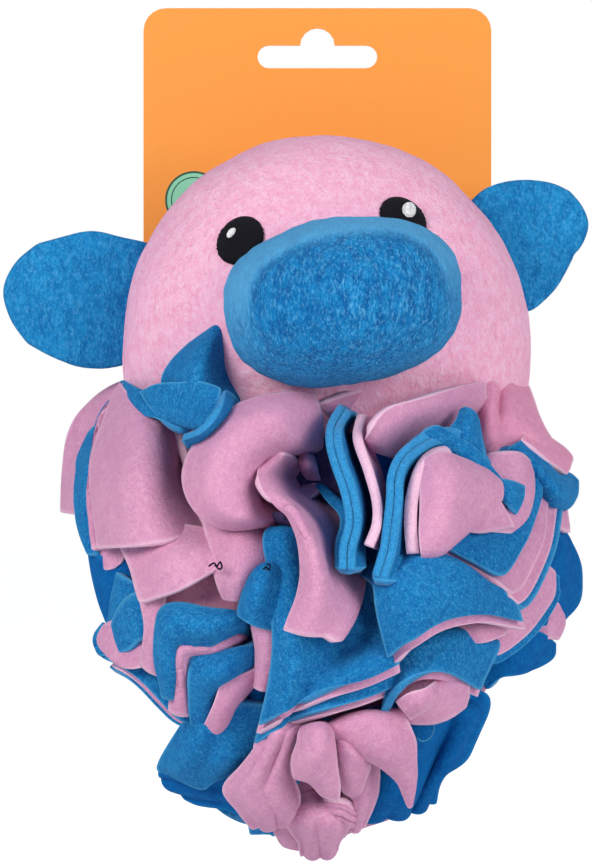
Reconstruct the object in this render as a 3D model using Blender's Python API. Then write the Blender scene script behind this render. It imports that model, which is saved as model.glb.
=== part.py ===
# Plush dog toy on its hanging card: a stuffed fleece head with a squeaker, a stuffed body
# that is hidden under gathered fleece rosettes, two flat ears that swing on their sewn roots,
# and a card that two nylon ties hold behind the head.
# Metres, +Z up, the origin in the middle of the card's hang slot, the face looks towards -Y,
# and left and right are the viewer's.

import math

import bmesh
import bpy
from mathutils import Matrix, Vector

# Cloth and fits
FLEECE = 0.0025
FIT_GAP = 0.0003
FACET_ALLOWANCE = 0.0006
CUT_OVERRUN = 0.004

# Body core under the ruffles
BODY_HALF_WIDTH = 0.037
BODY_HALF_DEPTH = 0.032
BODY_HALF_HEIGHT = 0.033

# Head, set on the body with a lean and a slight turn
HEAD_HALF_WIDTH = 0.052
HEAD_HALF_DEPTH = 0.045
HEAD_HALF_HEIGHT = 0.054
HEAD_ABOVE_BODY = 0.072
HEAD_RIGHT_OF_BODY = 0.0015
HEAD_ROLL_DEG = 7.6
HEAD_YAW_DEG = 4.5

# Snout, a stuffed oval sewn on the front of the head
SNOUT_HALF_WIDTH = 0.0277
SNOUT_HALF_DEPTH = 0.0225
SNOUT_HALF_HEIGHT = 0.0182
SNOUT_AHEAD_OF_HEAD_CENTRE = 0.0505
SNOUT_ABOVE_HEAD_CENTRE = 0.0093

# Embroidered eyes and their white glints
EYE_WIDTH = 0.0117
EYE_HEIGHT = 0.0127
EYE_APART = 0.0398
EYE_ABOVE_HEAD_CENTRE = 0.0279
EYE_THREAD = 0.0009
GLINT_DIAMETER = 0.0030
GLINT_OUTWARD = 0.0016
GLINT_ABOVE_EYE_CENTRE = 0.0017
GLINT_THREAD = 0.0005

# Ears, two fleece plies each, on a straight sewn root
EAR_ROOT_LENGTH = 0.0300
EAR_LENGTH = 0.0275
EAR_SPREAD = 0.0345
EAR_PLY = 0.0014
EAR_ROOT_ELEVATION_DEG = 20.4
EAR_LEFT_SWING_DEG = 0.0
EAR_RIGHT_SWING_DEG = 25.0
EAR_ROOT_SEGMENTS = 3

# Squeaker in the middle of the head
SQUEAKER_RADIUS = 0.0190
SQUEAKER_HALF_THICKNESS = 0.0110
SQUEAKER_WALL = 0.0010
REED_RADIUS = 0.0040
REED_LENGTH = 0.0080
REED_FLANGE_RADIUS = 0.0058
REED_FLANGE_THICKNESS = 0.0010
REED_BORE_RADIUS = 0.0015

# Hanging card and its slot
CARD_WIDTH = 0.0927
CARD_HEIGHT = 0.1084
CARD_THICKNESS = 0.0006
CARD_CORNER_RADIUS = 0.0060
CARD_BOTTOM_BELOW_HEAD_CENTRE = 0.0170
CARD_LEFT_OF_HEAD_CENTRE = 0.0020
SLOT_WIDTH = 0.0319
SLOT_HEIGHT = 0.0060
SLOT_BUMP_RADIUS = 0.0046
SLOT_BELOW_CARD_TOP = 0.0130

# Nylon ties through the card into the head
TIE_APART = 0.0240
TIE_ABOVE_HEAD_CENTRE = 0.0060
TIE_FILAMENT_RADIUS = 0.0004
TIE_BAR_RADIUS = 0.0006
TIE_BAR_LENGTH = 0.0090
TIE_DEPTH_IN_STUFFING = 0.0030

# Rosettes of gathered fleece
ROSETTE_REACH = 0.0310
CUP_RADIUS = 0.0108
PLY_STEP = 0.0033
FOLD_COUNT = 4
CORNER_COUNT = 4
RUFFLE_TOP_BELOW_HEAD_CENTRE = 0.0090
RUFFLE_FLOOR_BELOW_BODY_CENTRE = 0.0500

# How far each ply of a rosette opens, and how long it is, from the outermost inwards
PLY_OPENING_SHARES = (1.0, 0.70, 0.40)
PLY_REACH_SHARES = (1.0, 0.94, 0.86)
FOLD_DEPTH_SHARES = (0.22, 0.34, 0.34)
CORNER_SHARE = 0.10
SHORTENING_SHARES = (1.0, 0.8, 0.6, 0.4)
OPENING_STEP_DEG = 3.0
LEAST_OPENING_DEG = 16.0
LEAST_TILT_DEG = -60.0

# Name, azimuth and elevation of the knot on the body, tilt of the rosette's axis, widest
# opening, phase of its folds (all in degrees), plies and share of the reach
ROSETTES = (
    ("front", 4.0, 25.0, 18.0, 98.0, 20.0, 3, 1.08),
    ("front_left", -60.0, 25.0, 26.0, 100.0, 55.0, 3, 1.22),
    ("back_left", -119.0, 23.0, 22.0, 100.0, 10.0, 3, 1.14),
    ("back", 180.0, 22.0, 14.0, 98.0, 70.0, 3, 0.90),
    ("back_right", 121.0, 23.0, 22.0, 100.0, 40.0, 3, 1.14),
    ("front_right", 62.0, 23.0, 24.0, 100.0, 80.0, 3, 1.18),
    ("lower_front", 8.0, -26.0, -34.0, 98.0, 35.0, 2, 0.92),
    ("lower_left", -64.0, -22.0, -36.0, 98.0, 60.0, 2, 0.70),
    ("lower_back_left", -136.0, -27.0, -36.0, 98.0, 15.0, 2, 0.70),
    ("lower_back_right", 152.0, -27.0, -36.0, 98.0, 45.0, 2, 0.70),
    ("lower_right", 80.0, -22.0, -36.0, 98.0, 75.0, 2, 0.72),
    ("bottom", 15.0, -78.0, -82.0, 44.0, 0.0, 3, 0.56),
)
PLY_COLOURS = ("pink", "blue", "pink_inner")

# Facets
HEAD_SEGMENTS = 28
HEAD_RINGS = 14
SNOUT_SEGMENTS = 20
SNOUT_RINGS = 12
BODY_SEGMENTS = 24
BODY_RINGS = 12
SQUEAKER_SEGMENTS = 20
SQUEAKER_RINGS = 10
EYE_SEGMENTS = 20
GLINT_SEGMENTS = 10
CORNER_SEGMENTS = 5
SLOT_END_SEGMENTS = 8
TIE_SEGMENTS = 8
ROSETTE_SEGMENTS = 20
MERIDIAN_SHARES = (0.36, 0.68, 1.0)

# Outline of an ear from the lower end of its root round to the upper end: shares of the
# spread along the root and of the ear's length away from it
EAR_OUTLINE_SHARES = (
    (-0.43, 0.00), (-0.47, 0.14), (-0.50, 0.32), (-0.48, 0.52), (-0.40, 0.71), (-0.27, 0.87),
    (-0.09, 0.98), (0.09, 0.99), (0.25, 0.91), (0.38, 0.78), (0.46, 0.62), (0.49, 0.44),
    (0.48, 0.26), (0.45, 0.12), (0.43, 0.00),
)

PINK = (0.85, 0.46, 0.66, 1.0)
DEEP_PINK = (0.80, 0.36, 0.57, 1.0)
BLUE = (0.03, 0.26, 0.60, 1.0)
BLACK = (0.012, 0.012, 0.02, 1.0)
WHITE = (0.86, 0.86, 0.84, 1.0)
WADDING = (0.78, 0.78, 0.75, 1.0)
ORANGE = (1.0, 0.36, 0.07, 1.0)
CLEAR_NYLON = (0.75, 0.76, 0.76, 1.0)
SQUEAKER_VINYL = (0.82, 0.80, 0.70, 1.0)


def clear_scene():
    for old in list(bpy.data.objects):
        bpy.data.objects.remove(old, do_unlink=True)


def make_material(name, colour, roughness):
    material = bpy.data.materials.new(name)
    material.use_nodes = True
    shader = material.node_tree.nodes["Principled BSDF"]
    shader.inputs["Base Color"].default_value = colour
    shader.inputs["Roughness"].default_value = roughness
    shader.inputs["Metallic"].default_value = 0.0
    material.diffuse_color = colour
    return material


def add_empty(name, parent, matrix):
    empty = bpy.data.objects.new(name, None)
    bpy.context.collection.objects.link(empty)
    empty.parent = parent
    empty.matrix_local = matrix
    return empty


def add_object(name, bm, parent, colour=WADDING, roughness=0.9, location=(0, 0, 0), smooth=True):
    mesh = bpy.data.meshes.new(name)
    bmesh.ops.recalc_face_normals(bm, faces=bm.faces)
    bm.to_mesh(mesh)
    bm.free()
    if smooth:
        mesh.shade_smooth()
        mesh.set_sharp_from_angle(angle=math.radians(40))
    piece = bpy.data.objects.new(name, mesh)
    bpy.context.collection.objects.link(piece)
    piece.parent = parent
    piece.location = location
    mesh.materials.append(make_material(name, colour, roughness))
    return piece


def make_cutter(piece):
    piece.hide_render = True
    piece.display_type = "WIRE"
    return piece


def boolean(piece, cutter, operation="DIFFERENCE"):
    modifier = piece.modifiers.new(cutter.name, "BOOLEAN")
    modifier.operation = operation
    modifier.solver = "EXACT"
    modifier.object = cutter


def grown(sizes, amount):
    return tuple(size + amount for size in sizes)


def ellipsoid(semi_axes, segments, rings):
    # poles on the Y axis, so that a seam at Y = 0 follows a ring of vertices
    bm = bmesh.new()
    bmesh.ops.create_uvsphere(bm, u_segments=segments, v_segments=rings, radius=1)
    bmesh.ops.rotate(bm, verts=bm.verts, cent=(0, 0, 0), matrix=Matrix.Rotation(math.pi / 2, 3, "X"))
    bmesh.ops.scale(bm, verts=bm.verts, vec=semi_axes)
    return bm


def half_ellipsoid(semi_axes, segments, rings, side):
    # side -1 keeps the front half and side 1 the back half, half a fit gap off the seam
    bm = ellipsoid(semi_axes, segments, rings)
    cut = bmesh.ops.bisect_plane(
        bm, geom=bm.verts[:] + bm.edges[:] + bm.faces[:], plane_co=(0, side * FIT_GAP / 2, 0),
        plane_no=(0, side, 0), clear_inner=True)
    rim = [edge for edge in cut["geom_cut"] if isinstance(edge, bmesh.types.BMEdge)]
    bmesh.ops.holes_fill(bm, edges=rim, sides=0)
    return bm


def arc(centre, radius, start_deg, end_deg, segments):
    points = []
    for step in range(segments + 1):
        angle = math.radians(start_deg + (end_deg - start_deg) * step / segments)
        points.append((centre[0] + radius * math.cos(angle), centre[1] + radius * math.sin(angle)))
    return points


def slab(outline, front, back):
    # an outline in X and Z, given anticlockwise, between two places in Y
    bm = bmesh.new()
    ring = [bm.verts.new((x, front, z)) for x, z in outline]
    face = bm.faces.new(ring)
    grown_faces = bmesh.ops.extrude_face_region(bm, geom=[face])
    moved = [item for item in grown_faces["geom"] if isinstance(item, bmesh.types.BMVert)]
    bmesh.ops.translate(bm, verts=moved, vec=(0, back - front, 0))
    return bm


def rod(radius, length, segments, axis="Z"):
    bm = bmesh.new()
    bmesh.ops.create_cone(bm, cap_ends=True, segments=segments, radius1=radius, radius2=radius,
                          depth=length)
    if axis == "Y":
        bmesh.ops.rotate(bm, verts=bm.verts, cent=(0, 0, 0), matrix=Matrix.Rotation(math.pi / 2, 3, "X"))
    return bm


def smooth_outline(points, steps):
    # a rounded line through the points, by Catmull and Rom's rule
    rounded = []
    for index in range(len(points) - 1):
        before = Vector(points[max(index - 1, 0)])
        start = Vector(points[index])
        end = Vector(points[index + 1])
        after = Vector(points[min(index + 2, len(points) - 1)])
        for step in range(steps):
            t = step / steps
            rounded.append(0.5 * ((2 * start) + (end - before) * t
                                  + (2 * before - 5 * start + 4 * end - after) * t ** 2
                                  + (3 * start - before - 3 * end + after) * t ** 3))
    rounded.append(Vector(points[-1]))
    return rounded


HEAD_SIZE = (HEAD_HALF_WIDTH, HEAD_HALF_DEPTH, HEAD_HALF_HEIGHT)
BODY_SIZE = (BODY_HALF_WIDTH, BODY_HALF_DEPTH, BODY_HALF_HEIGHT)
SNOUT_SIZE = (SNOUT_HALF_WIDTH, SNOUT_HALF_DEPTH, SNOUT_HALF_HEIGHT)
SNOUT_CENTRE = (0, -SNOUT_AHEAD_OF_HEAD_CENTRE, SNOUT_ABOVE_HEAD_CENTRE)
CARD_FRONT = HEAD_HALF_DEPTH + FIT_GAP
PLY_MARGIN = FLEECE / 2 + FIT_GAP + FACET_ALLOWANCE
CUP_HEIGHT = FLEECE / 2 + FIT_GAP


def head_matrix():
    # the roll lifts the viewer's right side and the yaw turns the face to the viewer's right
    place = Matrix.Translation((HEAD_RIGHT_OF_BODY, 0, HEAD_ABOVE_BODY))
    yaw = Matrix.Rotation(math.radians(HEAD_YAW_DEG), 4, "Z")
    roll = Matrix.Rotation(math.radians(-HEAD_ROLL_DEG), 4, "Y")
    return place @ yaw @ roll


def build_head(head_frame):
    hollow = make_cutter(add_object(
        "head_hollow_cut", ellipsoid(grown(HEAD_SIZE, -FLEECE), HEAD_SEGMENTS, HEAD_RINGS), head_frame))
    outside = make_cutter(add_object(
        "head_outside_cut", ellipsoid(grown(HEAD_SIZE, FIT_GAP), HEAD_SEGMENTS, HEAD_RINGS), head_frame))
    inside = grown(HEAD_SIZE, -FLEECE - FIT_GAP)
    panels = []
    stuffing = []
    for name, side in (("front", -1), ("back", 1)):
        panel = add_object("head_" + name + "_panel",
                           half_ellipsoid(HEAD_SIZE, HEAD_SEGMENTS, HEAD_RINGS, side), head_frame, PINK)
        boolean(panel, hollow)
        panels.append(panel)
        stuffing.append(add_object("head_stuffing_" + name,
                                   half_ellipsoid(inside, HEAD_SEGMENTS, HEAD_RINGS, side), head_frame))
    return panels, stuffing, outside


def build_squeaker(head_frame, stuffing_halves):
    size = (SQUEAKER_RADIUS, SQUEAKER_HALF_THICKNESS, SQUEAKER_RADIUS)
    bulb = add_object("squeaker_bulb", ellipsoid(size, SQUEAKER_SEGMENTS, SQUEAKER_RINGS), head_frame,
                      SQUEAKER_VINYL, 0.5)
    hollow = make_cutter(add_object(
        "squeaker_hollow_cut",
        ellipsoid(grown(size, -SQUEAKER_WALL), SQUEAKER_SEGMENTS, SQUEAKER_RINGS), head_frame))
    mouth = make_cutter(add_object(
        "squeaker_mouth_cut",
        rod(REED_RADIUS + FIT_GAP, SQUEAKER_HALF_THICKNESS, SQUEAKER_SEGMENTS, "Y"), head_frame,
        location=(0, SQUEAKER_HALF_THICKNESS, 0)))
    boolean(bulb, hollow)
    boolean(bulb, mouth)

    # the reed stands in the mouth, and its flange rests on the back of the bulb
    bm = bmesh.new()
    seat = SQUEAKER_HALF_THICKNESS + FIT_GAP
    stem_end = seat - REED_LENGTH
    flange_face = seat + REED_FLANGE_THICKNESS
    profile = [(REED_BORE_RADIUS, stem_end), (REED_RADIUS, stem_end), (REED_RADIUS, seat),
               (REED_FLANGE_RADIUS, seat), (REED_FLANGE_RADIUS, flange_face),
               (REED_BORE_RADIUS, flange_face)]
    ring = [bm.verts.new((x, y, 0)) for x, y in profile]
    edges = [bm.edges.new((ring[i - 1], ring[i])) for i in range(len(ring))]
    bmesh.ops.spin(bm, geom=ring + edges, cent=(0, 0, 0), axis=(0, 1, 0), dvec=(0, 0, 0),
                   angle=math.tau, steps=SQUEAKER_SEGMENTS, use_merge=True)
    add_object("squeaker_reed", bm, head_frame, WHITE, 0.4)

    pocket = make_cutter(add_object(
        "squeaker_pocket_cut", ellipsoid(grown(size, FIT_GAP), SQUEAKER_SEGMENTS, SQUEAKER_RINGS),
        head_frame))
    flange_depth = REED_FLANGE_THICKNESS + 2 * FIT_GAP + SQUEAKER_WALL
    flange_pocket = make_cutter(add_object(
        "flange_pocket_cut", rod(REED_FLANGE_RADIUS + FIT_GAP, flange_depth, SQUEAKER_SEGMENTS, "Y"),
        head_frame, location=(0, flange_face + FIT_GAP - flange_depth / 2, 0)))
    for half in stuffing_halves:
        boolean(half, pocket)
    boolean(stuffing_halves[1], flange_pocket)


def build_snout(head_frame, head_cut):
    cover = add_object("snout_cover", ellipsoid(SNOUT_SIZE, SNOUT_SEGMENTS, SNOUT_RINGS), head_frame,
                       BLUE, location=SNOUT_CENTRE)
    hollow = make_cutter(add_object(
        "snout_hollow_cut", ellipsoid(grown(SNOUT_SIZE, -FLEECE), SNOUT_SEGMENTS, SNOUT_RINGS),
        head_frame, location=SNOUT_CENTRE))
    boolean(cover, hollow)
    boolean(cover, head_cut)
    stuffing = add_object(
        "snout_stuffing",
        ellipsoid(grown(SNOUT_SIZE, -FLEECE - FIT_GAP), SNOUT_SEGMENTS, SNOUT_RINGS), head_frame,
        location=SNOUT_CENTRE)
    boolean(stuffing, head_cut)


def patch_on_head(name, head_frame, place, width, height, segments, under, over, colour):
    # a flat patch of thread between two shells that follow the head's surface
    bm = rod(1, HEAD_HALF_DEPTH, segments, "Y")
    bmesh.ops.scale(bm, verts=bm.verts, vec=(width / 2, 1, height / 2))
    patch = add_object(name, bm, head_frame, colour, 0.6, (place[0], -HEAD_HALF_DEPTH, place[1]))
    boolean(patch, over, "INTERSECT")
    boolean(patch, under)
    return patch


def build_eyes(head_frame, head_cut):
    shells = [head_cut]
    heights = (FIT_GAP + EYE_THREAD, FIT_GAP + EYE_THREAD + FIT_GAP,
               FIT_GAP + EYE_THREAD + FIT_GAP + GLINT_THREAD)
    for name, height in zip(("eye_face_cut", "glint_seat_cut", "glint_face_cut"), heights):
        shells.append(make_cutter(add_object(
            name, ellipsoid(grown(HEAD_SIZE, height), HEAD_SEGMENTS, HEAD_RINGS), head_frame)))
    for name, side in (("left", -1), ("right", 1)):
        eye = (side * EYE_APART / 2, EYE_ABOVE_HEAD_CENTRE)
        glint = (eye[0] + side * GLINT_OUTWARD, eye[1] + GLINT_ABOVE_EYE_CENTRE)
        patch_on_head("eye_" + name, head_frame, eye, EYE_WIDTH, EYE_HEIGHT, EYE_SEGMENTS,
                      shells[0], shells[1], BLACK)
        patch_on_head("eye_" + name + "_glint", head_frame, glint, GLINT_DIAMETER, GLINT_DIAMETER,
                      GLINT_SEGMENTS, shells[2], shells[3], WHITE)


def build_ear(name, side, swing_deg, head_frame):
    # the hinge lies along the root, outside the head by what the two plies need to turn
    elevation = math.radians(EAR_ROOT_ELEVATION_DEG)
    outwards = side * math.cos(elevation)
    upwards = math.sin(elevation)
    on_seam = Vector((outwards * HEAD_HALF_WIDTH, 0, upwards * HEAD_HALF_HEIGHT))
    outward = Vector((outwards / HEAD_HALF_WIDTH, 0, upwards / HEAD_HALF_HEIGHT))
    outward.normalize()
    along = Vector((-outward.z, 0, outward.x)) * side
    swing_radius = EAR_PLY + FIT_GAP / 2
    hinge_place = on_seam + outward * (swing_radius + 2 * FIT_GAP)
    turned = Matrix((outward, along.cross(outward), along)).transposed().to_4x4()
    swing = Matrix.Rotation(math.radians(side * swing_deg), 4, Vector((0, 0, 1)))
    hinge = add_empty(name + "_hinge", head_frame, Matrix.Translation(hinge_place) @ turned @ swing)

    outline = [(out * EAR_LENGTH, up * EAR_SPREAD) for up, out in EAR_OUTLINE_SHARES]
    outline[0] = (-swing_radius, -EAR_ROOT_LENGTH / 2)
    outline[-1] = (-swing_radius, EAR_ROOT_LENGTH / 2)
    rounded = smooth_outline(outline, 2)
    for ply, front in (("_front", -1), ("_back", 1)):
        near = front * FIT_GAP / 2
        far = front * (FIT_GAP / 2 + EAR_PLY)
        bm = slab([(point.x, point.y) for point in rounded], near, far)
        root_edges = [edge for edge in bm.edges
                      if all(abs(vert.co.y - far) < FIT_GAP / 2 for vert in edge.verts)
                      and all(vert.co.x < FIT_GAP / 2 - swing_radius for vert in edge.verts)]
        bmesh.ops.bevel(bm, geom=root_edges, affect="EDGES", offset=EAR_PLY - FIT_GAP / 2,
                        segments=EAR_ROOT_SEGMENTS, profile=0.5, material=-1)
        add_object(name + ply, bm, hinge, BLUE)
    return hinge


def build_body(body_frame, head_cut):
    cover = add_object("body_cover", ellipsoid(BODY_SIZE, BODY_SEGMENTS, BODY_RINGS), body_frame, PINK)
    hollow = make_cutter(add_object(
        "body_hollow_cut", ellipsoid(grown(BODY_SIZE, -FLEECE), BODY_SEGMENTS, BODY_RINGS), body_frame))
    boolean(cover, hollow)
    boolean(cover, head_cut)
    stuffing = add_object(
        "body_stuffing", ellipsoid(grown(BODY_SIZE, -FLEECE - FIT_GAP), BODY_SEGMENTS, BODY_RINGS),
        body_frame)
    boolean(stuffing, head_cut)


def card_centre():
    return HEAD_RIGHT_OF_BODY - CARD_LEFT_OF_HEAD_CENTRE


def card_bottom():
    return HEAD_ABOVE_BODY - CARD_BOTTOM_BELOW_HEAD_CENTRE


def build_card(body_frame):
    right = CARD_WIDTH / 2
    top = CARD_HEIGHT
    corner = CARD_CORNER_RADIUS
    outline = (arc((right - corner, corner), corner, -90, 0, CORNER_SEGMENTS)
               + arc((right - corner, top - corner), corner, 0, 90, CORNER_SEGMENTS)
               + arc((corner - right, top - corner), corner, 90, 180, CORNER_SEGMENTS)
               + arc((corner - right, corner), corner, 180, 270, CORNER_SEGMENTS))
    place = (card_centre(), 0, card_bottom())
    card = add_object("header_card", slab(outline, CARD_FRONT, CARD_FRONT + CARD_THICKNESS), body_frame,
                      ORANGE, 0.6, place, smooth=False)

    slot_z = CARD_HEIGHT - SLOT_BELOW_CARD_TOP
    end_radius = SLOT_HEIGHT / 2
    end_x = SLOT_WIDTH / 2 - end_radius
    bump_z = slot_z + end_radius
    slot_outline = (arc((end_x, slot_z), end_radius, -90, 90, SLOT_END_SEGMENTS)
                    + arc((0, bump_z), SLOT_BUMP_RADIUS, 0, 180, SLOT_END_SEGMENTS)
                    + arc((-end_x, slot_z), end_radius, 90, 270, SLOT_END_SEGMENTS))
    slot = make_cutter(add_object(
        "slot_cut", slab(slot_outline, CARD_FRONT - CUT_OVERRUN, CARD_FRONT + CARD_THICKNESS + CUT_OVERRUN),
        body_frame, location=place, smooth=False))
    boolean(card, slot)
    return card


def tie_shape(extra):
    # two bars joined by a filament, the whole grown by extra where it is a cutter
    outer_bar = CARD_FRONT + CARD_THICKNESS + FIT_GAP + TIE_BAR_RADIUS
    panel_inside = HEAD_HALF_DEPTH - FLEECE
    inner_bar = panel_inside - TIE_DEPTH_IN_STUFFING
    filament = rod(TIE_FILAMENT_RADIUS + extra, outer_bar - inner_bar, TIE_SEGMENTS, "Y")
    bmesh.ops.translate(filament, verts=filament.verts, vec=(0, (outer_bar + inner_bar) / 2, 0))
    bars = []
    for place in (outer_bar, inner_bar):
        bar = rod(TIE_BAR_RADIUS + extra, TIE_BAR_LENGTH + 2 * extra, TIE_SEGMENTS)
        bmesh.ops.translate(bar, verts=bar.verts, vec=(0, place, 0))
        bars.append(bar)
    return filament, bars


def build_tie(name, side, body_frame, cut_pieces):
    place = (HEAD_RIGHT_OF_BODY + side * TIE_APART / 2, 0, HEAD_ABOVE_BODY + TIE_ABOVE_HEAD_CENTRE)
    for extra, label in ((0, name), (FIT_GAP, name + "_cut")):
        filament, bars = tie_shape(extra)
        tie = add_object(label, filament, body_frame, CLEAR_NYLON, 0.3, place)
        for number, bar in enumerate(bars):
            part = make_cutter(add_object(label + "_bar_" + str(number), bar, body_frame, location=place))
            boolean(tie, part, "UNION")
        if extra:
            make_cutter(tie)
            for piece in cut_pieces:
                boolean(piece, tie)


def knot_place(azimuth_deg, elevation_deg):
    azimuth = math.radians(azimuth_deg)
    elevation = math.radians(elevation_deg)
    return Vector((BODY_HALF_WIDTH * math.cos(elevation) * math.sin(azimuth),
                   -BODY_HALF_DEPTH * math.cos(elevation) * math.cos(azimuth),
                   BODY_HALF_HEIGHT * math.sin(elevation)))


def outside(point, size, margin):
    return sum((point[axis] / (size[axis] + margin)) ** 2 for axis in range(3)) > 1


def room_test(own, knots):
    # true where a ply of one rosette clears the head, snout, body, card and the other rosettes
    margin = PLY_MARGIN
    to_head = head_matrix().inverted()
    snout_centre = Vector(SNOUT_CENTRE)
    top = HEAD_ABOVE_BODY - RUFFLE_TOP_BELOW_HEAD_CENTRE - margin
    walls = []
    for index, knot in enumerate(knots):
        if index != own:
            walls.append(((knot + knots[own]) / 2, (knot - knots[own]).normalized()))

    def has_room(point):
        head_point = to_head @ point
        if not outside(head_point, HEAD_SIZE, margin):
            return False
        if not outside(head_point - snout_centre, SNOUT_SIZE, margin):
            return False
        if not outside(point, BODY_SIZE, margin):
            return False
        if point.z > top or point.z < -RUFFLE_FLOOR_BELOW_BODY_CENTRE:
            return False
        if point.y > CARD_FRONT - margin and point.z > card_bottom() - margin:
            return False
        return all((point - middle).dot(normal) < -margin for middle, normal in walls)

    return has_room


def meridian_point(cup_radius, cup_height, reach, opening, share):
    # a curve out of the knot, round the cup and along the petal to its rim
    rim_out = cup_radius + reach * math.sin(opening)
    rim_up = cup_height + reach * math.cos(opening)
    out = 2 * share * (1 - share) * cup_radius + share ** 2 * rim_out
    up = (1 - share) ** 2 * cup_height + 2 * share * (1 - share) * cup_height + share ** 2 * rim_up
    return out, up


def rosette_axes(knot, azimuth, tilt):
    # the axis of a rosette and the two directions of its cup: the axis dips until the cup
    # clears the head
    to_head = head_matrix().inverted()
    yaw = math.radians(azimuth)
    side = Vector((math.cos(yaw), math.sin(yaw), 0))
    while True:
        lift = math.radians(tilt)
        axis = Vector((math.cos(lift) * math.sin(yaw), -math.cos(lift) * math.cos(yaw), math.sin(lift)))
        up = side.cross(axis)
        top_of_cup = knot + axis * CUP_HEIGHT + up * CUP_RADIUS
        if outside(to_head @ top_of_cup, HEAD_SIZE, PLY_MARGIN + FIT_GAP) or tilt < LEAST_TILT_DEG:
            return axis, side, up
        tilt -= OPENING_STEP_DEG


def build_rosette(index, knots, body_frame):
    name, azimuth, _, tilt, widest, phase, plies, reach_share = ROSETTES[index]
    knot = knots[index]
    axis, side, up = rosette_axes(knot, azimuth, tilt)
    turns = [math.tau * step / ROSETTE_SEGMENTS for step in range(ROSETTE_SEGMENTS)]
    has_room = room_test(index, knots)
    hangs_free = name == "bottom"

    def petal_point(angle, cup_radius, cup_height, reach, opening_deg, share):
        out, height = meridian_point(cup_radius, cup_height, reach, math.radians(opening_deg), share)
        return knot + axis * height + (side * math.cos(angle) + up * math.sin(angle)) * out

    def fullest_petal(angle):
        # the widest opening with room for the petal, which is shortened only where none has
        corner = 1 + CORNER_SHARE * math.cos(CORNER_COUNT * angle + math.radians(phase))
        for shorter in SHORTENING_SHARES:
            reach = ROSETTE_REACH * reach_share * corner * shorter
            opening = widest
            while opening > LEAST_OPENING_DEG:
                points = [petal_point(angle, CUP_RADIUS, CUP_HEIGHT, reach, opening, share)
                          for share in MERIDIAN_SHARES]
                if hangs_free:
                    points = [point for point in points if point.z > -BODY_HALF_HEIGHT]
                if all(has_room(point) for point in points):
                    return opening, reach
                opening -= OPENING_STEP_DEG
        return LEAST_OPENING_DEG, reach

    petals = [fullest_petal(turn) for turn in turns]
    openings = []
    reaches = []
    for step in range(ROSETTE_SEGMENTS):
        near = [petals[step - 1], petals[step], petals[(step + 1) % ROSETTE_SEGMENTS]]
        openings.append(min(petals[step][0], sum(petal[0] for petal in near) / len(near)))
        reaches.append(min(petals[step][1], sum(petal[1] for petal in near) / len(near)))

    for ply in range(plies):
        cup_radius = CUP_RADIUS - ply * PLY_STEP
        cup_height = CUP_HEIGHT + ply * PLY_STEP
        bm = bmesh.new()
        centre = bm.verts.new(knot + axis * cup_height)
        rings = []
        for share in MERIDIAN_SHARES:
            ring = []
            for turn, widest_here, reach in zip(turns, openings, reaches):
                wave = (1 + math.cos(FOLD_COUNT * turn + math.radians(phase))) / 2
                opening = widest_here * PLY_OPENING_SHARES[ply] * (1 - FOLD_DEPTH_SHARES[ply] * wave)
                ring.append(bm.verts.new(petal_point(
                    turn, cup_radius, cup_height, reach * PLY_REACH_SHARES[ply], opening, share)))
            rings.append(ring)
        for step in range(ROSETTE_SEGMENTS):
            following = (step + 1) % ROSETTE_SEGMENTS
            bm.faces.new((centre, rings[0][step], rings[0][following]))
            for inner, outer in zip(rings, rings[1:]):
                bm.faces.new((inner[step], outer[step], outer[following], inner[following]))
        colour = BLUE if PLY_COLOURS[ply] == "blue" else DEEP_PINK
        sheet = add_object("ruffle_" + name + "_" + PLY_COLOURS[ply], bm, body_frame, colour)
        wall = sheet.modifiers.new("cloth thickness", "SOLIDIFY")
        wall.thickness = FLEECE
        wall.offset = 0
        wall.use_rim = True


def hang_slot_place():
    slot_height = card_bottom() + CARD_HEIGHT - SLOT_BELOW_CARD_TOP
    return Vector((card_centre(), CARD_FRONT + CARD_THICKNESS / 2, slot_height))


def main():
    clear_scene()
    toy_frame = add_empty("toy_frame", None, Matrix.Identity(4))
    head_frame = add_empty("head_frame", toy_frame, head_matrix())
    panels, stuffing, head_cut = build_head(head_frame)
    build_squeaker(head_frame, stuffing)
    build_snout(head_frame, head_cut)
    build_eyes(head_frame, head_cut)
    build_ear("ear_left", -1, EAR_LEFT_SWING_DEG, head_frame)
    build_ear("ear_right", 1, EAR_RIGHT_SWING_DEG, head_frame)
    build_body(toy_frame, head_cut)
    card = build_card(toy_frame)
    for name, side in (("card_tie_left", -1), ("card_tie_right", 1)):
        build_tie(name, side, toy_frame, (card, panels[1], stuffing[1]))
    knots = [knot_place(rosette[1], rosette[2]) for rosette in ROSETTES]
    for index in range(len(ROSETTES)):
        build_rosette(index, knots, toy_frame)
    toy_frame.location = -hang_slot_place()
    bpy.context.view_layer.update()
    print("frame moved by", tuple(round(value, 5) for value in toy_frame.location))
    for name in ("ear_left_hinge", "ear_right_hinge"):
        hinge = bpy.data.objects[name].matrix_world
        print(name, tuple(round(value, 5) for value in hinge.translation),
              "axis", tuple(round(value, 5) for value in hinge.col[2][:3]))


main()
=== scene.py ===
# Plush dog toy on its hanging card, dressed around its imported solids
import math

import bmesh
import bpy
from mathutils import Matrix, Vector, noise


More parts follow.
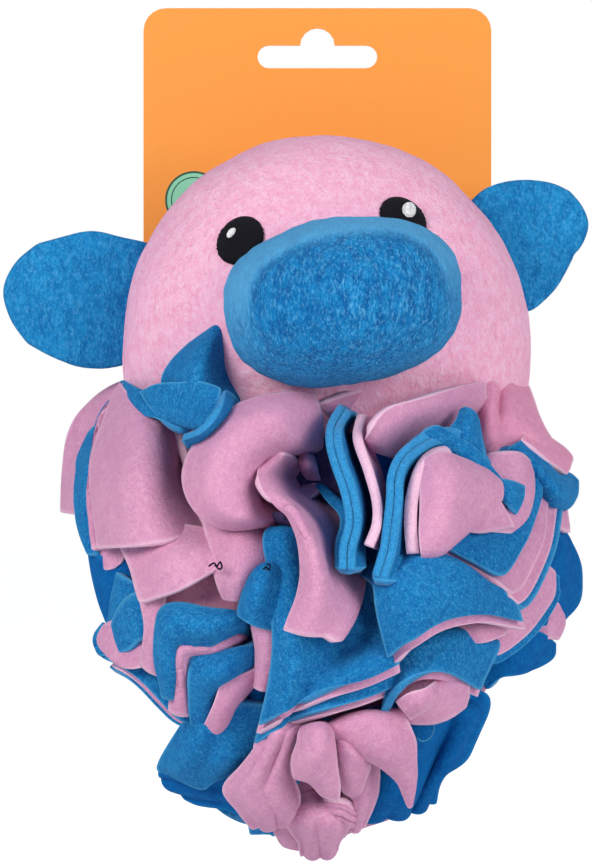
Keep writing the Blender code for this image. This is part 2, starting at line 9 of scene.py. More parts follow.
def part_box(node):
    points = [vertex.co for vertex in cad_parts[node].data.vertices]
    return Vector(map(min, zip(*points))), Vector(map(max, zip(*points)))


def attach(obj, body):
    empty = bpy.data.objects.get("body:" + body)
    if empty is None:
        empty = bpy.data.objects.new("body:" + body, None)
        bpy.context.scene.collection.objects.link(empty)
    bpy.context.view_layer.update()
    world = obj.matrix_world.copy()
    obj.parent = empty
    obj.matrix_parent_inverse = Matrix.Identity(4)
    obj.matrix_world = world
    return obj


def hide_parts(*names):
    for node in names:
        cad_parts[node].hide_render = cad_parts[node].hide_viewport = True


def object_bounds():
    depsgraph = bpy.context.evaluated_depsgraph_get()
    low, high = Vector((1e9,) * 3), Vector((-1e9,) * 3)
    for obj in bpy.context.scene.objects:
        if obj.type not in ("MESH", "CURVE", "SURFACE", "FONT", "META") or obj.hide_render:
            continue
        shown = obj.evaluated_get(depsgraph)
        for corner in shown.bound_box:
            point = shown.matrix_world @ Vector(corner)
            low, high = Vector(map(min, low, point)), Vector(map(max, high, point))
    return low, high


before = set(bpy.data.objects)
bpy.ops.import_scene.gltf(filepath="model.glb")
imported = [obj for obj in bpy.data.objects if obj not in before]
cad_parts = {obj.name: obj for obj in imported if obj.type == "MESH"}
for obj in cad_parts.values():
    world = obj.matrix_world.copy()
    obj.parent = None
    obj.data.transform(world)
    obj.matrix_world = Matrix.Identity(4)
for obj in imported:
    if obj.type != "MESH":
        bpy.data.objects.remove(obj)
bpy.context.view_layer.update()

# The photograph's camera, from the middle of the head: metres, and pixels of a 592 x 865 frame
view = {"pixel": 0.000254, "distance": 0.920, "right": -0.0077, "up": -0.0217,
        "middleX": 296.0, "middleY": 432.5, "frameHeight": 865, "sensor": 36.0, "near": 0.05, "far": 20}

# The sewn toy: the same sizes as its solids
toy = {"headSize": (0.052, 0.045, 0.054), "headRoll": 7.6, "headYaw": 4.5,
       "snoutSize": (0.0283, 0.0230, 0.0196), "snoutAt": (0.0010, -0.0505, 0.0098),
       "bodySize": (0.037, 0.032, 0.033), "bodyAt": (-0.0015, 0, -0.072),
       "cardFront": 0.0453, "cardBottom": -0.017}

lows, highs = zip(*[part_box(node) for node in ("head_front_panel", "head_back_panel")])
headLow = Vector([min(low[axis] for low in lows) for axis in range(3)])
headHigh = Vector([max(high[axis] for high in highs) for axis in range(3)])
headCentre = (headLow + headHigh) / 2
bodyCentre = headCentre + Vector(toy["bodyAt"])
snoutAt = Vector(toy["snoutAt"])
headTurn = (Matrix.Rotation(math.radians(toy["headYaw"]), 4, "Z")
            @ Matrix.Rotation(math.radians(-toy["headRoll"]), 4, "Y"))
toHead = Matrix.Translation(headCentre) @ headTurn
eyePoint = headCentre + Vector((view["right"], -view["distance"], view["up"]))


def fromPhoto(x, y, depth):
    # the place behind a pixel of the photograph, depth metres behind the head's middle
    scale = view["pixel"] * (view["distance"] + depth) / view["distance"]
    return Vector((eyePoint.x + (x - view["middleX"]) * scale, headCentre.y + depth,
                   eyePoint.z + (view["middleY"] - y) * scale))


def toPhoto(point):
    scale = view["pixel"] * (point.y - eyePoint.y) / view["distance"]
    return (view["middleX"] + (point.x - eyePoint.x) / scale,
            view["middleY"] - (point.z - eyePoint.z) / scale)


# Shader maths on sockets, and one method for every other node
class Signal:
    def __init__(self, finish, socket):
        self.finish = finish
        self.socket = socket

    def maths(self, operation, other):
        return self.finish.node("ShaderNodeMath", {"operation": operation}, {0: self, 1: other})

    def __add__(self, other):
        return self.maths("ADD", other)

    def __sub__(self, other):
        return self.maths("SUBTRACT", other)

    def __mul__(self, other):
        return self.maths("MULTIPLY", other)

    def __pow__(self, other):
        return self.maths("POWER", other)

    def __lt__(self, other):
        return self.maths("LESS_THAN", other)

    def __gt__(self, other):
        return self.maths("GREATER_THAN", other)


class Finish:
    def __init__(self, name, family="materials", shader="Principled BSDF"):
        self.look = getattr(bpy.data, family).new(name)
        self.look.use_nodes = True
        self.tree = self.look.node_tree
        self.shader = self.tree.nodes[shader]
        self.place = self.node("ShaderNodeTexCoord", {}, {}, "Object")

    def node(self, kind, settings, inputs, output=0):
        made = self.tree.nodes.new(kind)
        for key, value in settings.items():
            setattr(made, key, value)
        for key, value in inputs.items():
            self.join(value, made.inputs[key])
        return Signal(self, made.outputs[output])

    def join(self, value, socket):
        if isinstance(value, Signal):
            self.tree.links.new(value.socket, socket)
        elif isinstance(value, tuple) and len(value) == 3 and socket.type == "RGBA":
            socket.default_value = (*value, 1)
        else:
            socket.default_value = value

    def blotches(self, scale, detail=2.0, rough=0.5):
        return self.node("ShaderNodeTexNoise", {},
                         {"Vector": self.place, "Scale": scale, "Detail": detail, "Roughness": rough})

    def mix(self, share, first, second):
        return self.node("ShaderNodeMix", {"data_type": "RGBA"}, {0: share, 6: first, 7: second}, 2)

    def between(self, value, low, high):
        return self.node("ShaderNodeMapRange", {"clamp": True}, {0: value, 1: low, 2: high})

    def bump(self, height, distance, under=None):
        inputs = {"Strength": 1.0, "Distance": distance, "Height": height}
        if under is not None:
            inputs["Normal"] = under
        return self.node("ShaderNodeBump", {}, inputs)

    def finish(self, **inputs):
        names = {"colour": "Base Color", "rough": "Roughness", "normal": "Normal", "sheen": "Sheen Weight",
                 "sheenRough": "Sheen Roughness", "sheenTint": "Sheen Tint",
                 "specular": "Specular IOR Level", "subsurface": "Subsurface Weight"}
        for key, value in inputs.items():
            self.join(value, self.shader.inputs[names[key]])
        return self.look


# Each noise of a fleece has its scale, detail and roughness. Each layer has its noise, where that
# starts and ends, how strongly it counts, whether mottle or grain steers it, and the tone it leads to.
fleeceLook = {"noises": {"blotch": (330, 3.0, 0.6), "pill": (900, 1.5, 0.6), "fibre": (2400, 3.0, 0.75),
                         "broad": (45, 2.0, 0.5)},
              "coarse": ("blotch", "pill"), "depths": {"blotch": 0.0005, "pill": 0.0005, "fibre": 0.0003},
              "layers": (("blotch", 0.60, 0.36, 1.0, "mottle", "deep"),
                         ("pill", 0.46, 0.32, 0.7, "mottle", "deep"),
                         ("pill", 0.53, 0.72, 0.6, "mottle", "light"),
                         ("fibre", 0.47, 0.34, 1.0, "grain", "deep"),
                         ("fibre", 0.53, 0.66, 1.0, "grain", "light"),
                         ("broad", 0.40, 0.62, 0.2, "always", "deep")),
              "rough": 0.95, "specular": 0.12, "sheenRough": 0.45}
knitLook = {"scale": 2200, "from": 0.30, "to": 0.72, "depth": 0.0002,
            "rough": 0.95, "specular": 0.1, "sheen": 0.2, "sheenRough": 0.5}


def fleeceFinish(name, deep, plain, light, nap=1.0, size=1.0, mottle=0.6, grain=0.4, sheen=0.16, tall=1.0):
    # brushed pile: soft blotches, small pills and fine fibres, with a painted highlight towards the light tone
    # along each cut rim, drawn out upwards by tall
    finish = Finish("fleece" + name[0].upper() + name[1:])
    finish.place = finish.node("ShaderNodeVectorMath", {"operation": "MULTIPLY"},
                               {0: finish.place, 1: (1.0, 1.0, 1.0 / tall)})
    coarse = fleeceLook["coarse"]
    noises = {source: finish.blotches(scale / (size if source in coarse else 1), detail, rough)
              for source, (scale, detail, rough) in fleeceLook["noises"].items()}
    amounts = {"mottle": mottle, "grain": grain, "always": 1.0}
    tones = {"deep": deep, "light": light}
    colour = plain
    for source, start, end, strength, steer, tone in fleeceLook["layers"]:
        share = finish.between(noises[source], start, end) * (strength * amounts[steer])
        colour = finish.mix(share, colour, tones[tone])
    # painted highlight: the rim attribute lightens cut rims of the flaps and the snout's band towards the
    # light tone
    rim = finish.node("ShaderNodeAttribute", {"attribute_name": "rim"}, {}, "Fac")
    colour = finish.mix(rim * rim, colour, light)
    relief = None
    for source, depth in fleeceLook["depths"].items():
        relief = finish.bump(noises[source], depth * (nap if source in coarse else 1), relief)
    return finish.finish(colour=colour, rough=fleeceLook["rough"], normal=relief, sheen=sheen,
                         specular=fleeceLook["specular"], sheenRough=fleeceLook["sheenRough"], sheenTint=light)


def edgeFinish(name, plain, light):
    # the cut edge of fleece shows its paler knit
    finish = Finish(name)
    knit = finish.blotches(knitLook["scale"])
    colour = finish.mix(finish.between(knit, knitLook["from"], knitLook["to"]), plain, light)
    return finish.finish(colour=colour, normal=finish.bump(knit, knitLook["depth"]),
                         **{key: knitLook[key] for key in ("rough", "specular", "sheen", "sheenRough")})


# Each fleece: its deep, plain and light tones, and what differs from fleeceFinish's usual values
fleeceTones = {
    "headPink": ((0.92, 0.36, 0.56), (1.0, 0.55, 0.74), (1.0, 0.78, 0.90),
                 {"nap": 0.9, "size": 0.85, "mottle": 0.75, "grain": 0.50, "sheen": 0.20, "tall": 1.3}),
    "snoutBlue": ((0.001, 0.10, 0.33), (0.006, 0.225, 0.54), (0.13, 0.46, 0.78),
                  {"nap": 1.1, "size": 0.62, "mottle": 1.0, "grain": 0.45, "sheen": 0.60, "tall": 2.3}),
    "earBlue": ((0.003, 0.14, 0.40), (0.014, 0.27, 0.60), (0.10, 0.43, 0.77),
                {"size": 0.7, "mottle": 0.8, "grain": 0.45, "sheen": 0.35, "tall": 1.6}),
    "pink": ((0.58, 0.22, 0.42), (0.75, 0.355, 0.55), (0.96, 0.62, 0.79),
             {"nap": 0.45, "size": 0.8, "mottle": 0.35, "grain": 0.45, "sheen": 0.30}),
    "warmPink": ((0.70, 0.22, 0.40), (0.90, 0.37, 0.56), (1.0, 0.62, 0.77),
                 {"nap": 0.45, "size": 0.8, "mottle": 0.35, "grain": 0.45, "sheen": 0.30}),
    # a darker copy of the pink, painted shade for the hollow in the bottom tuft
    "rosePink": ((0.36, 0.06, 0.15), (0.56, 0.15, 0.29), (0.78, 0.34, 0.50),
                 {"nap": 0.45, "size": 0.8, "mottle": 0.35, "grain": 0.45, "sheen": 0.20}),
    "blue": ((0.002, 0.12, 0.39), (0.010, 0.220, 0.52), (0.09, 0.43, 0.76),
             {"nap": 0.7, "size": 0.72, "mottle": 0.75, "grain": 0.50, "sheen": 0.30}),
    "darkBlue": ((0.001, 0.08, 0.32), (0.002, 0.14, 0.43), (0.01, 0.23, 0.57), {"nap": 0.7}),
    # shade: a dark purple fleece that is painted shade, laid as sheets in hollows where there is only shadow
    "shade": ((0.055, 0.040, 0.110), (0.090, 0.060, 0.170), (0.130, 0.090, 0.240), {"nap": 0.7}),
}
print("mixing the fleeces")
fleeces = {name: fleeceFinish(name, *tones, **more) for name, (*tones, more) in fleeceTones.items()}
edges = {"pink": edgeFinish("edgePink", (0.80, 0.46, 0.64), (0.94, 0.62, 0.77)),
         "blue": edgeFinish("edgeBlue", (0.010, 0.20, 0.49), (0.05, 0.34, 0.67))}


def keepMesh(name, bm, *finishes):
    mesh = bpy.data.meshes.new(name)
    bm.to_mesh(mesh)
    bm.free()
    mesh.shade_smooth()
    for finish in finishes:
        mesh.materials.append(finish)
    return keepObject(name, mesh)


def keepObject(name, data):
    holder = bpy.data.objects.new(name, data)
    bpy.context.collection.objects.link(holder)
    return holder


def soften(piece):
    rounding = piece.modifiers.new("rounding", "SUBSURF")
    rounding.levels = rounding.render_levels = 1


clothEdge = {"crease": 0.75}


def thicken(piece, thickness):
    # a wall of cloth with square cut edges of the second material
    wall = piece.modifiers.new("cloth", "SOLIDIFY")
    wall.thickness = thickness
    wall.offset = 0
    wall.edge_crease_inner = wall.edge_crease_outer = clothEdge["crease"]
    wall.material_offset_rim = 1


def ball(segments, rings):
    # a unit ball with its poles on the Y axis
    bm = bmesh.new()
    bmesh.ops.create_uvsphere(bm, u_segments=segments, v_segments=rings, radius=1)
    bmesh.ops.rotate(bm, verts=bm.verts, cent=(0, 0, 0), matrix=Matrix.Rotation(math.pi / 2, 3, "X"))
    return bm


def lumps(point, look, kind="lump"):
    return noise.noise(point * look[kind + "Scale"]) * look[kind + "Depth"]


def groove(distance, width, depth):
    return -depth * math.exp(-(distance / width) ** 2)


def limited(value):
    return min(max(value, 0), 1)


def outwardOf(direction, size):
    return Vector([direction[axis] / size[axis] for axis in range(3)]).normalized()


def segmentDistance(x, y, start, end):
    alongX, alongY = end[0] - start[0], end[1] - start[1]
    share = limited(((x - start[0]) * alongX + (y - start[1]) * alongY) / (alongX ** 2 + alongY ** 2))
    return math.hypot(x - start[0] - share * alongX, y - start[1] - share * alongY)


# Head: two stuffed shells that meet in a seam, with a short dart on either side
head = {"segments": 168, "rings": 100, "seamWidth": 0.0011, "seamDepth": 0.0009,
        "dartWidthPixels": 3.2, "dartDepth": 0.0007,
        "darts": (((150, 322), (232, 290)), ((455, 276), (485, 266))),
        "lumpScale": 55, "lumpDepth": 0.0009, "dimpleScale": 240, "dimpleDepth": 0.00028}


def makeHead():
    bm = ball(head["segments"], head["rings"])
    size = Vector(toy["headSize"])
    for vert in bm.verts:
        local = vert.co * size
        outward = outwardOf(vert.co, size)
        place = toHead @ local
        rise = lumps(place, head) + lumps(place, head, "dimple")
        rise += groove(local.y, head["seamWidth"], head["seamDepth"])
        if local.y < 0:
            x, y = toPhoto(place)
            for start, end in head["darts"]:
                rise += groove(segmentDistance(x, y, start, end), head["dartWidthPixels"], head["dartDepth"])
        vert.co = toHead @ (local + outward * rise)
    piece = keepMesh("headCover", bm, fleeces["headPink"])
    soften(piece)
    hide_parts("head_front_panel", "head_back_panel")
    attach(piece, "root")


# Snout: a fuller, squarer oval than its solid, sewn round its back edge. The band is its side panel, painted
# paler as a highlight along the top and the sides.
snout = {"segments": 120, "rings": 80, "square": 2.35, "extraRoll": 2.0, "grow": 0.0004,
         "band": 0.0052, "bandPale": 0.80, "fadeFrom": 0.80, "fadeOver": 0.35, "bandLow": 0.75, "pole": 0.05,
         "seamWidth": 0.0007, "seamDepth": 0.0006,
         "lumpScale": 70, "lumpDepth": 0.0008, "dimpleScale": 330, "dimpleDepth": 0.00045}


def makeSnout():
    bm = ball(snout["segments"], snout["rings"])
    pale = bm.verts.layers.float.new("rim")
    size = Vector(toy["snoutSize"])
    roll = Matrix.Rotation(math.radians(-snout["extraRoll"]), 4, "Y")
    for vert in bm.verts:
        direction = vert.co.copy()
        flat = math.hypot(direction.x, direction.z)
        if flat > 0:
            across, upward = abs(direction.x) / flat, abs(direction.z) / flat
            squarer = (across ** snout["square"] + upward ** snout["square"]) ** (-1 / snout["square"])
            direction.x *= squarer
            direction.z *= squarer
        local = direction * size
        outward = outwardOf(vert.co, size)
        place = toHead @ (roll @ local + snoutAt)
        rise = snout["grow"] + lumps(place, snout) + lumps(place, snout, "dimple")
        # the side panel shows as a band behind a seam, painted paler as a highlight along the top and the
        # sides and fading out underneath, where shade falls
        inside = 0
        if local.y <= 0:
            inside = math.hypot(local.x, local.z) * (1 / max(flat, snout["pole"]) - 1)
        upper = limited(snout["bandLow"] + local.z / size.z)
        share = 1 - limited((inside / snout["band"] - snout["fadeFrom"]) / snout["fadeOver"])
        vert[pale] = snout["bandPale"] * share * upper
        rise += groove(inside - snout["band"], snout["seamWidth"], snout["seamDepth"] * upper)
        vert.co = toHead @ (roll @ (local + outward * rise) + snoutAt)
    piece = keepMesh("snoutCover", bm, fleeces["snoutBlue"])
    soften(piece)
    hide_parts("snout_cover")
    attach(piece, "root")


body = {"segments": 64, "rings": 40}


def makeBody():
    bm = ball(body["segments"], body["rings"])
    size = Vector(toy["bodySize"])
    for vert in bm.verts:
        vert.co = bodyCentre + vert.co * size
    piece = keepMesh("bodyCover", bm, fleeces["blue"])
    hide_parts("body_cover")
    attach(piece, "root")


# Curves and nets of points, read from the photograph
def between(points, t):
    # Catmull and Rom's curve through evenly counted points, straight on beyond its ends
    last = len(points) - 1
    place = t * last
    if place <= 0:
        return points[0] + (points[1] - points[0]) * place
    if place >= last:
        return points[last] + (points[last] - points[last - 1]) * (place - last)
    index = int(place)
    f = place - index
    start, end = points[index], points[index + 1]
    before = points[index - 1] if index > 0 else start * 2 - end
    after = points[index + 2] if index + 2 <= last else end * 2 - start
    return 0.5 * (start * 2 + (end - before) * f + (before * 2 - start * 5 + end * 4 - after) * f ** 2
                  + (start * 3 - before - end * 3 + after) * f ** 3)


mound = {"x": 320.0, "y": 575.0, "halfWidth": 262.0, "halfHeight": 290.0, "depth": 0.060}


def moundDepth(x, y):
    away = ((x - mound["x"]) / mound["halfWidth"]) ** 2 + ((y - mound["y"]) / mound["halfHeight"]) ** 2
    return -mound["depth"] * math.sqrt(max(1 - away, 0))


def netPoint(x, y, lift):
    # lift in millimetres off the mound that the ruffles make together
    return fromPhoto(x, y, moundDepth(x, y) - lift / 1000)


knots = {"left": (218, 562, -8), "curl": (318, 486, -16), "lower": (368, 566, -14), "right": (455, 520, -18),
         "topLeft": (215, 402, -6), "topRight": (478, 448, -12), "lowerLeft": (250, 640, -14),
         "lowerRight": (455, 655, -16), "bottom": (332, 728, -12), "farLeft": (150, 500, -16),
         "farRight": (500, 540, -18), "hollow": (350, 508, -31), "bottomDeep": (322, 772, -26)}

# narrowing: how far each added row lies towards the knot, and how wide it is there.
# keepsDepth: how much of its slope in depth a ply keeps where it stands out beyond the one in front.
flapLook = {"step": 0.0016, "leastCells": 6, "thickness": 0.0021, "plyThickness": 0.0018,
            "layerGap": 0.0027, "lumpScale": 75, "lumpDepth": 0.0011,
            "dimpleScale": 230, "dimpleDepth": 0.00015,
            "narrowing": ((0.55, 0.6), (1.0, 0.2)), "keepsDepth": 0.3, "pleatShift": 0.3,
            "seedShift": (3.7, 1.3, 2.1), "cutNarrow": 0.8, "cutWide": 1.4, "cutLeast": 0.011}
flaps = {}


def flap(name, colour, tuck, knot, stands, **more):
    flaps[name] = {"colour": colour, "tuck": tuck, "knot": knot, "stands": "ruffle_" + stands, **more}


# Every flap of the gathered squares that shows from the front. A net's rows run from one side
# to the other, its points are pixel x, pixel y and lift, and tuck names the side that is sewn in
# at a knot. under lists the plies that show behind it, with how far each stands out.
flap("bigLeft", "pink", "right", "left", "front_left_pink", under=(("pink", 0.0008), ("blue", 0.0020)), net=(
    ((124, 386, 1), (136, 398, 4), (155, 411, 2), (172, 424, -8)),
    ((103, 425, 2), (128, 440, 9), (156, 450, 3), (186, 458, -18)),
    ((93, 482, 2), (124, 490, 11), (158, 492, 5), (190, 488, -20)),
    ((99, 549, 3), (132, 547, 11), (172, 541, 6), (208, 530, -12))))
flap("leftLowerCorner", "pink", "right", "left", "front_left_pink", net=(
    ((116, 532, -2), (165, 524, 0), (212, 530, -4)),
    ((130, 570, 5), (170, 560, 8), (214, 551, 2)),
    ((143, 604, 8), (182, 590, 9), (221, 567, 3))))
flap("leftLowest", "warmPink", "right", "left", "front_left_pink_inner", net=(
    ((136, 550, -7), (188, 546, -8), (226, 548, -11)),
    ((138, 575, -1), (190, 570, -2), (226, 566, -6)),
    ((145, 625, -1), (190, 606, 0), (238, 596, -5)),
    ((144, 668, -1), (185, 640, 0), (246, 614, -8))))
flap("leftStrip", "pink", "top", "left", "front_left_pink_inner", net=(
    ((144, 590, 3), (154, 590, 5), (168, 592, 3)),
    ((147, 632, 5), (156, 634, 7), (168, 632, 4)),
    ((142, 664, 5), (151, 672, 7), (164, 678, 4))))
flap("knotFlap", "pink", "top", "curl", "front_left_pink_inner", net=(
    ((206, 514, -4), (238, 512, -1), (276, 526, -4)),
    ((212, 550, 2), (242, 549, 5), (270, 557, 1)),
    ((218, 580, 3), (238, 580, 6), (257, 576, 2)),
    ((224, 599, 3), (236, 601, 4), (247, 598, 1))))
flap("curl", "pink", "bottom", "curl", "front_pink", net=(
    ((284, 524, -8), (262, 525, 1), (232, 529, 6), (201, 514, 8), (184, 478, 8), (201, 436, 9),
     (236, 407, 9), (275, 394, 8), (313, 397, -1)),
    ((278, 516, -6), (259, 517, 6), (243, 516, 12), (222, 504, 14), (211, 476, 15), (223, 448, 15),
     (250, 428, 14), (282, 417, 12), (319, 416, -1)),
    ((274, 508, -10), (261, 507, 0), (254, 499, 4), (249, 488, 6), (250, 472, 7), (258, 458, 7),
     (272, 449, 6), (294, 443, 4), (320, 440, -8)),
    ((276, 504, -18), (266, 503, -14), (263, 496, -14), (262, 488, -14), (264, 476, -14), (270, 467, -14),
     (282, 460, -14), (298, 457, -14), (320, 458, -16))))
flap("innerCurl", "pink", "right", "hollow", "front_pink_inner", net=(
    ((268, 462, -2), (280, 453, 5), (292, 454, -2), (302, 464, -13)),
    ((256, 478, 9), (268, 474, 5), (286, 475, -10), (300, 482, -18)),
    ((262, 494, 13), (277, 492, 11), (293, 494, -8), (312, 500, -20)),
    ((275, 505, 14), (289, 504, 14), (308, 509, -5), (332, 512, -19)),
    ((289, 517, 13), (301, 520, 16), (318, 525, 0), (346, 528, -17)),
    ((301, 550, 13), (315, 556, 17), (329, 560, 5), (354, 564, -10)),
    ((299, 592, 13), (317, 594, 17), (336, 598, 11), (360, 598, 2)),
    ((285, 631, 14), (303, 635, 16), (322, 637, 15), (341, 638, 12))))
# painted shade: a sheet of the shade fleece stands for the dark hollow behind the curl
flap("throat", "shade", "top", "hollow", "front_blue", net=(
    ((288, 446, -10), (318, 442, -10), (350, 436, -10)),
    ((290, 464, -13), (320, 464, -13), (352, 462, -13)),
    ((294, 488, -15), (322, 488, -16), (354, 488, -15)),
    ((306, 508, -21), (330, 510, -22), (356, 510, -20))))
flap("throatTip", "pink", "bottom", "hollow", "front_pink_inner", thickness=0.0012, net=(
    ((299, 457, -8), (306, 453, -6), (314, 457, -8)),
    ((301, 465, -7), (308, 464, -4), (316, 467, -8)),
    ((306, 476, -13), (313, 475, -12), (321, 478, -14))))
# painted shade: a small sheet of the shade fleece stands for the dark hollow under the curl
flap("curlHollow", "shade", "bottom", "curl", "front_blue", thickness=0.0012, net=(
    ((268, 514, -1), (279, 512, 1), (292, 516, 0)),
    ((273, 518, 0), (283, 518, 2), (295, 522, 0)),
    ((282, 523, -3), (289, 524, -2), (297, 528, -3))))
flap("centreBlue", "blue", "top", "lower", "lower_front_blue",
     under=(("pink", 0.0022), ("blue", 0.0050), ("pink", 0.0066)), net=(
    ((268, 532, 3), (285, 531, 5), (303, 536, 2), (322, 545, -2), (345, 568, -8), (370, 585, -8)),
    ((271, 580, 4), (290, 583, 7), (309, 588, 3), (328, 594, -1), (350, 602, -6), (377, 612, -3)),
    ((275, 628, 6), (294, 632, 10), (318, 640, 7), (340, 646, 1), (362, 642, 3), (386, 638, 5)),
    ((270, 678, 8), (290, 682, 12), (307, 687, 8), (326, 680, 9), (358, 668, 12), (395, 652, 9)),
    ((260, 726, 9), (281, 714, 12), (300, 703, 10), (326, 691, 12), (358, 681, 13), (397, 664, 10))))
flap("standingBlue", "blue", "bottom", "hollow", "front_blue", thickness=0.0019, sides=(-0.0010, 0.0010),
     net=(
    ((347, 409, 5), (332, 428, 10), (338, 455, 13), (349, 490, 14), (353, 522, 15), (349, 548, 16),
     (347, 570, 17)),
    ((352, 410, -6), (338, 430, -4), (344, 457, -4), (354, 492, -3), (357, 522, -2), (353, 550, 0),
     (352, 572, 3)),
    ((356, 412, -18), (344, 434, -16), (350, 460, -16), (360, 492, -16), (362, 522, -15), (358, 550, -12),
     (356, 572, -8))))
flap("standingBlueFoot", "blue", "top", "curl", "front_blue", net=(
    ((341, 520, -4), (352, 520, -2), (364, 524, -4)),
    ((338, 550, 6), (350, 548, 10), (364, 552, 6)),
    ((337, 571, 12), (350, 573, 15), (364, 570, 11))))
flap("standingPink", "pink", "bottom", "hollow", "front_pink", thickness=0.0024, net=(
    ((360, 414, 2), (358, 436, 9), (368, 468, 12), (376, 500, 13), (376, 524, 14), (369, 547, 15)),
    ((363, 416, -6), (363, 442, -3), (374, 472, -3), (381, 506, -3), (379, 528, -2), (373, 548, -1)),
    ((368, 418, -18), (368, 444, -16), (378, 474, -16), (384, 506, -16), (382, 528, -14), (376, 548, -12))))
flap("gapBlue", "darkBlue", "bottom", "hollow", "front_blue", net=(
    ((350, 430, -11), (374, 424, -11), (398, 436, -11)),
    ((352, 470, -10), (376, 470, -10), (402, 470, -10)),
    ((356, 520, -8), (378, 520, -8), (404, 520, -8)),
    ((352, 566, -5), (372, 574, -5), (394, 572, -5))))
flap("underSnout", "pink", "bottom", "curl", "front_pink_inner", net=(
    ((316, 402, -3), (348, 391, -2), (398, 383, -4), (444, 378, -6)),
    ((330, 420, -8), (358, 410, -9), (392, 402, -10), (430, 396, -10)),
    ((340, 440, -18), (364, 432, -18), (392, 424, -18), (424, 416, -18))))
flap("topRightPetal", "pink", "bottom", "right", "front_right_pink_inner", net=(
    ((370, 440, 4), (368, 427, 12), (386, 408, 14), (415, 399, 13), (450, 388, 11), (483, 381, 6)),
    ((378, 450, 2), (380, 437, 8), (400, 422, 10), (428, 411, 9), (458, 401, 6), (484, 396, 2)),
    ((394, 460, -6), (398, 448, -4), (412, 436, -2), (436, 426, -2), (466, 414, -4), (488, 408, -6)),
    ((405, 470, -18), (410, 460, -18), (420, 452, -18), (442, 442, -18), (470, 428, -18), (490, 418, -18))))
flap("farTopRight", "warmPink", "left", "topRight", "front_right_pink", pleats=(1.5, 0.0006), net=(
    ((480, 392, -3), (490, 384, 2), (499, 387, -1), (508, 382, 4), (517, 382, 6), (524, 388, 2)),
    ((482, 412, -3), (490, 408, 2), (497, 411, -1), (508, 404, 4), (523, 406, 5), (535, 412, 2)),
    ((486, 436, -3), (492, 434, 1), (499, 433, -1), (512, 426, 3), (530, 430, 5), (545, 434, 2)),
    ((488, 458, -6), (496, 456, -4), (508, 454, -4), (530, 455, 1), (547, 460, 3), (561, 460, 2)),
    ((496, 472, -9), (508, 474, -8), (522, 474, -8), (540, 474, -2), (551, 472, 1), (560, 469, 1))))
flap("archBlue", "blue", "bottom", "right", "front_right_blue", thickness=0.0019, sides=(-0.0010, 0.0010),
     net=(
    ((379, 578, 15), (389, 546, 15), (391, 510, 16), (393, 478, 16), (404, 453, 15), (426, 438, 14),
     (449, 436, 12), (470, 450, 9), (488, 468, 6)),
    ((386, 578, 4), (395, 548, 3), (397, 512, 3), (401, 480, 3), (412, 461, 3), (430, 449, 2),
     (450, 446, 0), (468, 458, -2), (482, 474, -4)),
    ((392, 578, -10), (400, 548, -12), (403, 512, -12), (408, 484, -12), (418, 468, -12), (433, 457, -12),
     (450, 453, -12), (466, 464, -14), (478, 478, -14))))
flap("archFoot", "blue", "top", "right", "front_right_blue", net=(
    ((388, 520, -4), (398, 520, -3), (412, 524, -6)),
    ((380, 556, 8), (394, 554, 10), (412, 556, 6)),
    ((373, 582, 13), (390, 584, 15), (410, 580, 11))))
flap("archTop", "blue", "bottom", "topRight", "front_right_blue", net=(
    ((411, 440, 8), (422, 432, 13), (435, 425, 14), (452, 434, 12), (470, 448, 10), (486, 464, 9),
     (501, 480, 8)),
    ((413, 449, 6), (425, 444, 11), (440, 442, 12), (454, 448, 10), (467, 459, 9), (481, 472, 8),
     (495, 485, 7)),
    ((416, 462, 2), (428, 456, 3), (441, 455, 3), (453, 459, 1), (463, 467, 0), (475, 479, -1),
     (488, 492, -2))))
flap("smallBlueCorner", "blue", "bottom", "topRight", "front_right_blue", net=(
    ((463, 414, 8), (468, 411, 10), (471, 414, 11), (475, 422, 8)),
    ((456, 424, 8), (463, 426, 10), (467, 430, 13), (479, 440, 7)),
    ((450, 434, 4), (459, 440, 8), (466, 446, 9), (483, 462, 5))))
flap("rightPetal", "pink", "bottom", "right", "front_right_pink", net=(
    ((423, 464, 13), (436, 455, 15), (448, 455, 15), (466, 461, 12), (482, 471, 9)),
    ((421, 486, 15), (438, 478, 19), (455, 477, 20), (476, 480, 16), (500, 490, 9)),
    ((421, 516, 15), (438, 508, 19), (454, 504, 20), (472, 502, 15), (494, 501, 8)),
    ((421, 553, 13), (434, 551, 14), (446, 544, 14), (460, 534, 11), (480, 516, 6))))
flap("rightPetalBack", "pink", "bottom", "right", "front_right_pink", thickness=0.0031, net=(
    ((412, 554, 14), (412, 524, 15), (413, 496, 15), (419, 472, 15), (433, 457, 14), (452, 453, 11)),
    ((417, 554, 4), (417, 524, 4), (418, 498, 4), (425, 476, 4), (438, 462, 3), (454, 459, 0)),
    ((420, 552, -8), (422, 524, -10), (423, 498, -10), (430, 481, -10), (442, 469, -10), (456, 465, -10))))
flap("rightInner", "pink", "left", "right", "front_right_pink_inner", net=(
    ((484, 458, 3), (498, 452, 7), (516, 453, 8), (530, 464, 5)),
    ((480, 482, 3), (500, 478, 7), (520, 480, 8), (533, 485, 5)),
    ((470, 512, 3), (494, 510, 6), (514, 510, 7), (527, 509, 4)),
    ((462, 531, 3), (484, 532, 6), (502, 533, 6), (518, 533, 4))))
flap("bluePeep", "blue", "left", "right", "front_right_blue", net=(
    ((496, 482, 8), (510, 482, 11), (522, 486, 9)),
    ((497, 492, 9), (511, 494, 12), (521, 500, 9)),
    ((501, 500, 8), (508, 508, 10), (514, 515, 8))))
flap("rightInnerFront", "pink", "left", "right", "front_right_pink_inner", net=(
    ((474, 496, 8), (486, 496, 11), (497, 498, 11)),
    ((470, 515, 8), (486, 514, 12), (507, 513, 11)),
    ((464, 531, 6), (484, 532, 9), (514, 527, 8))))
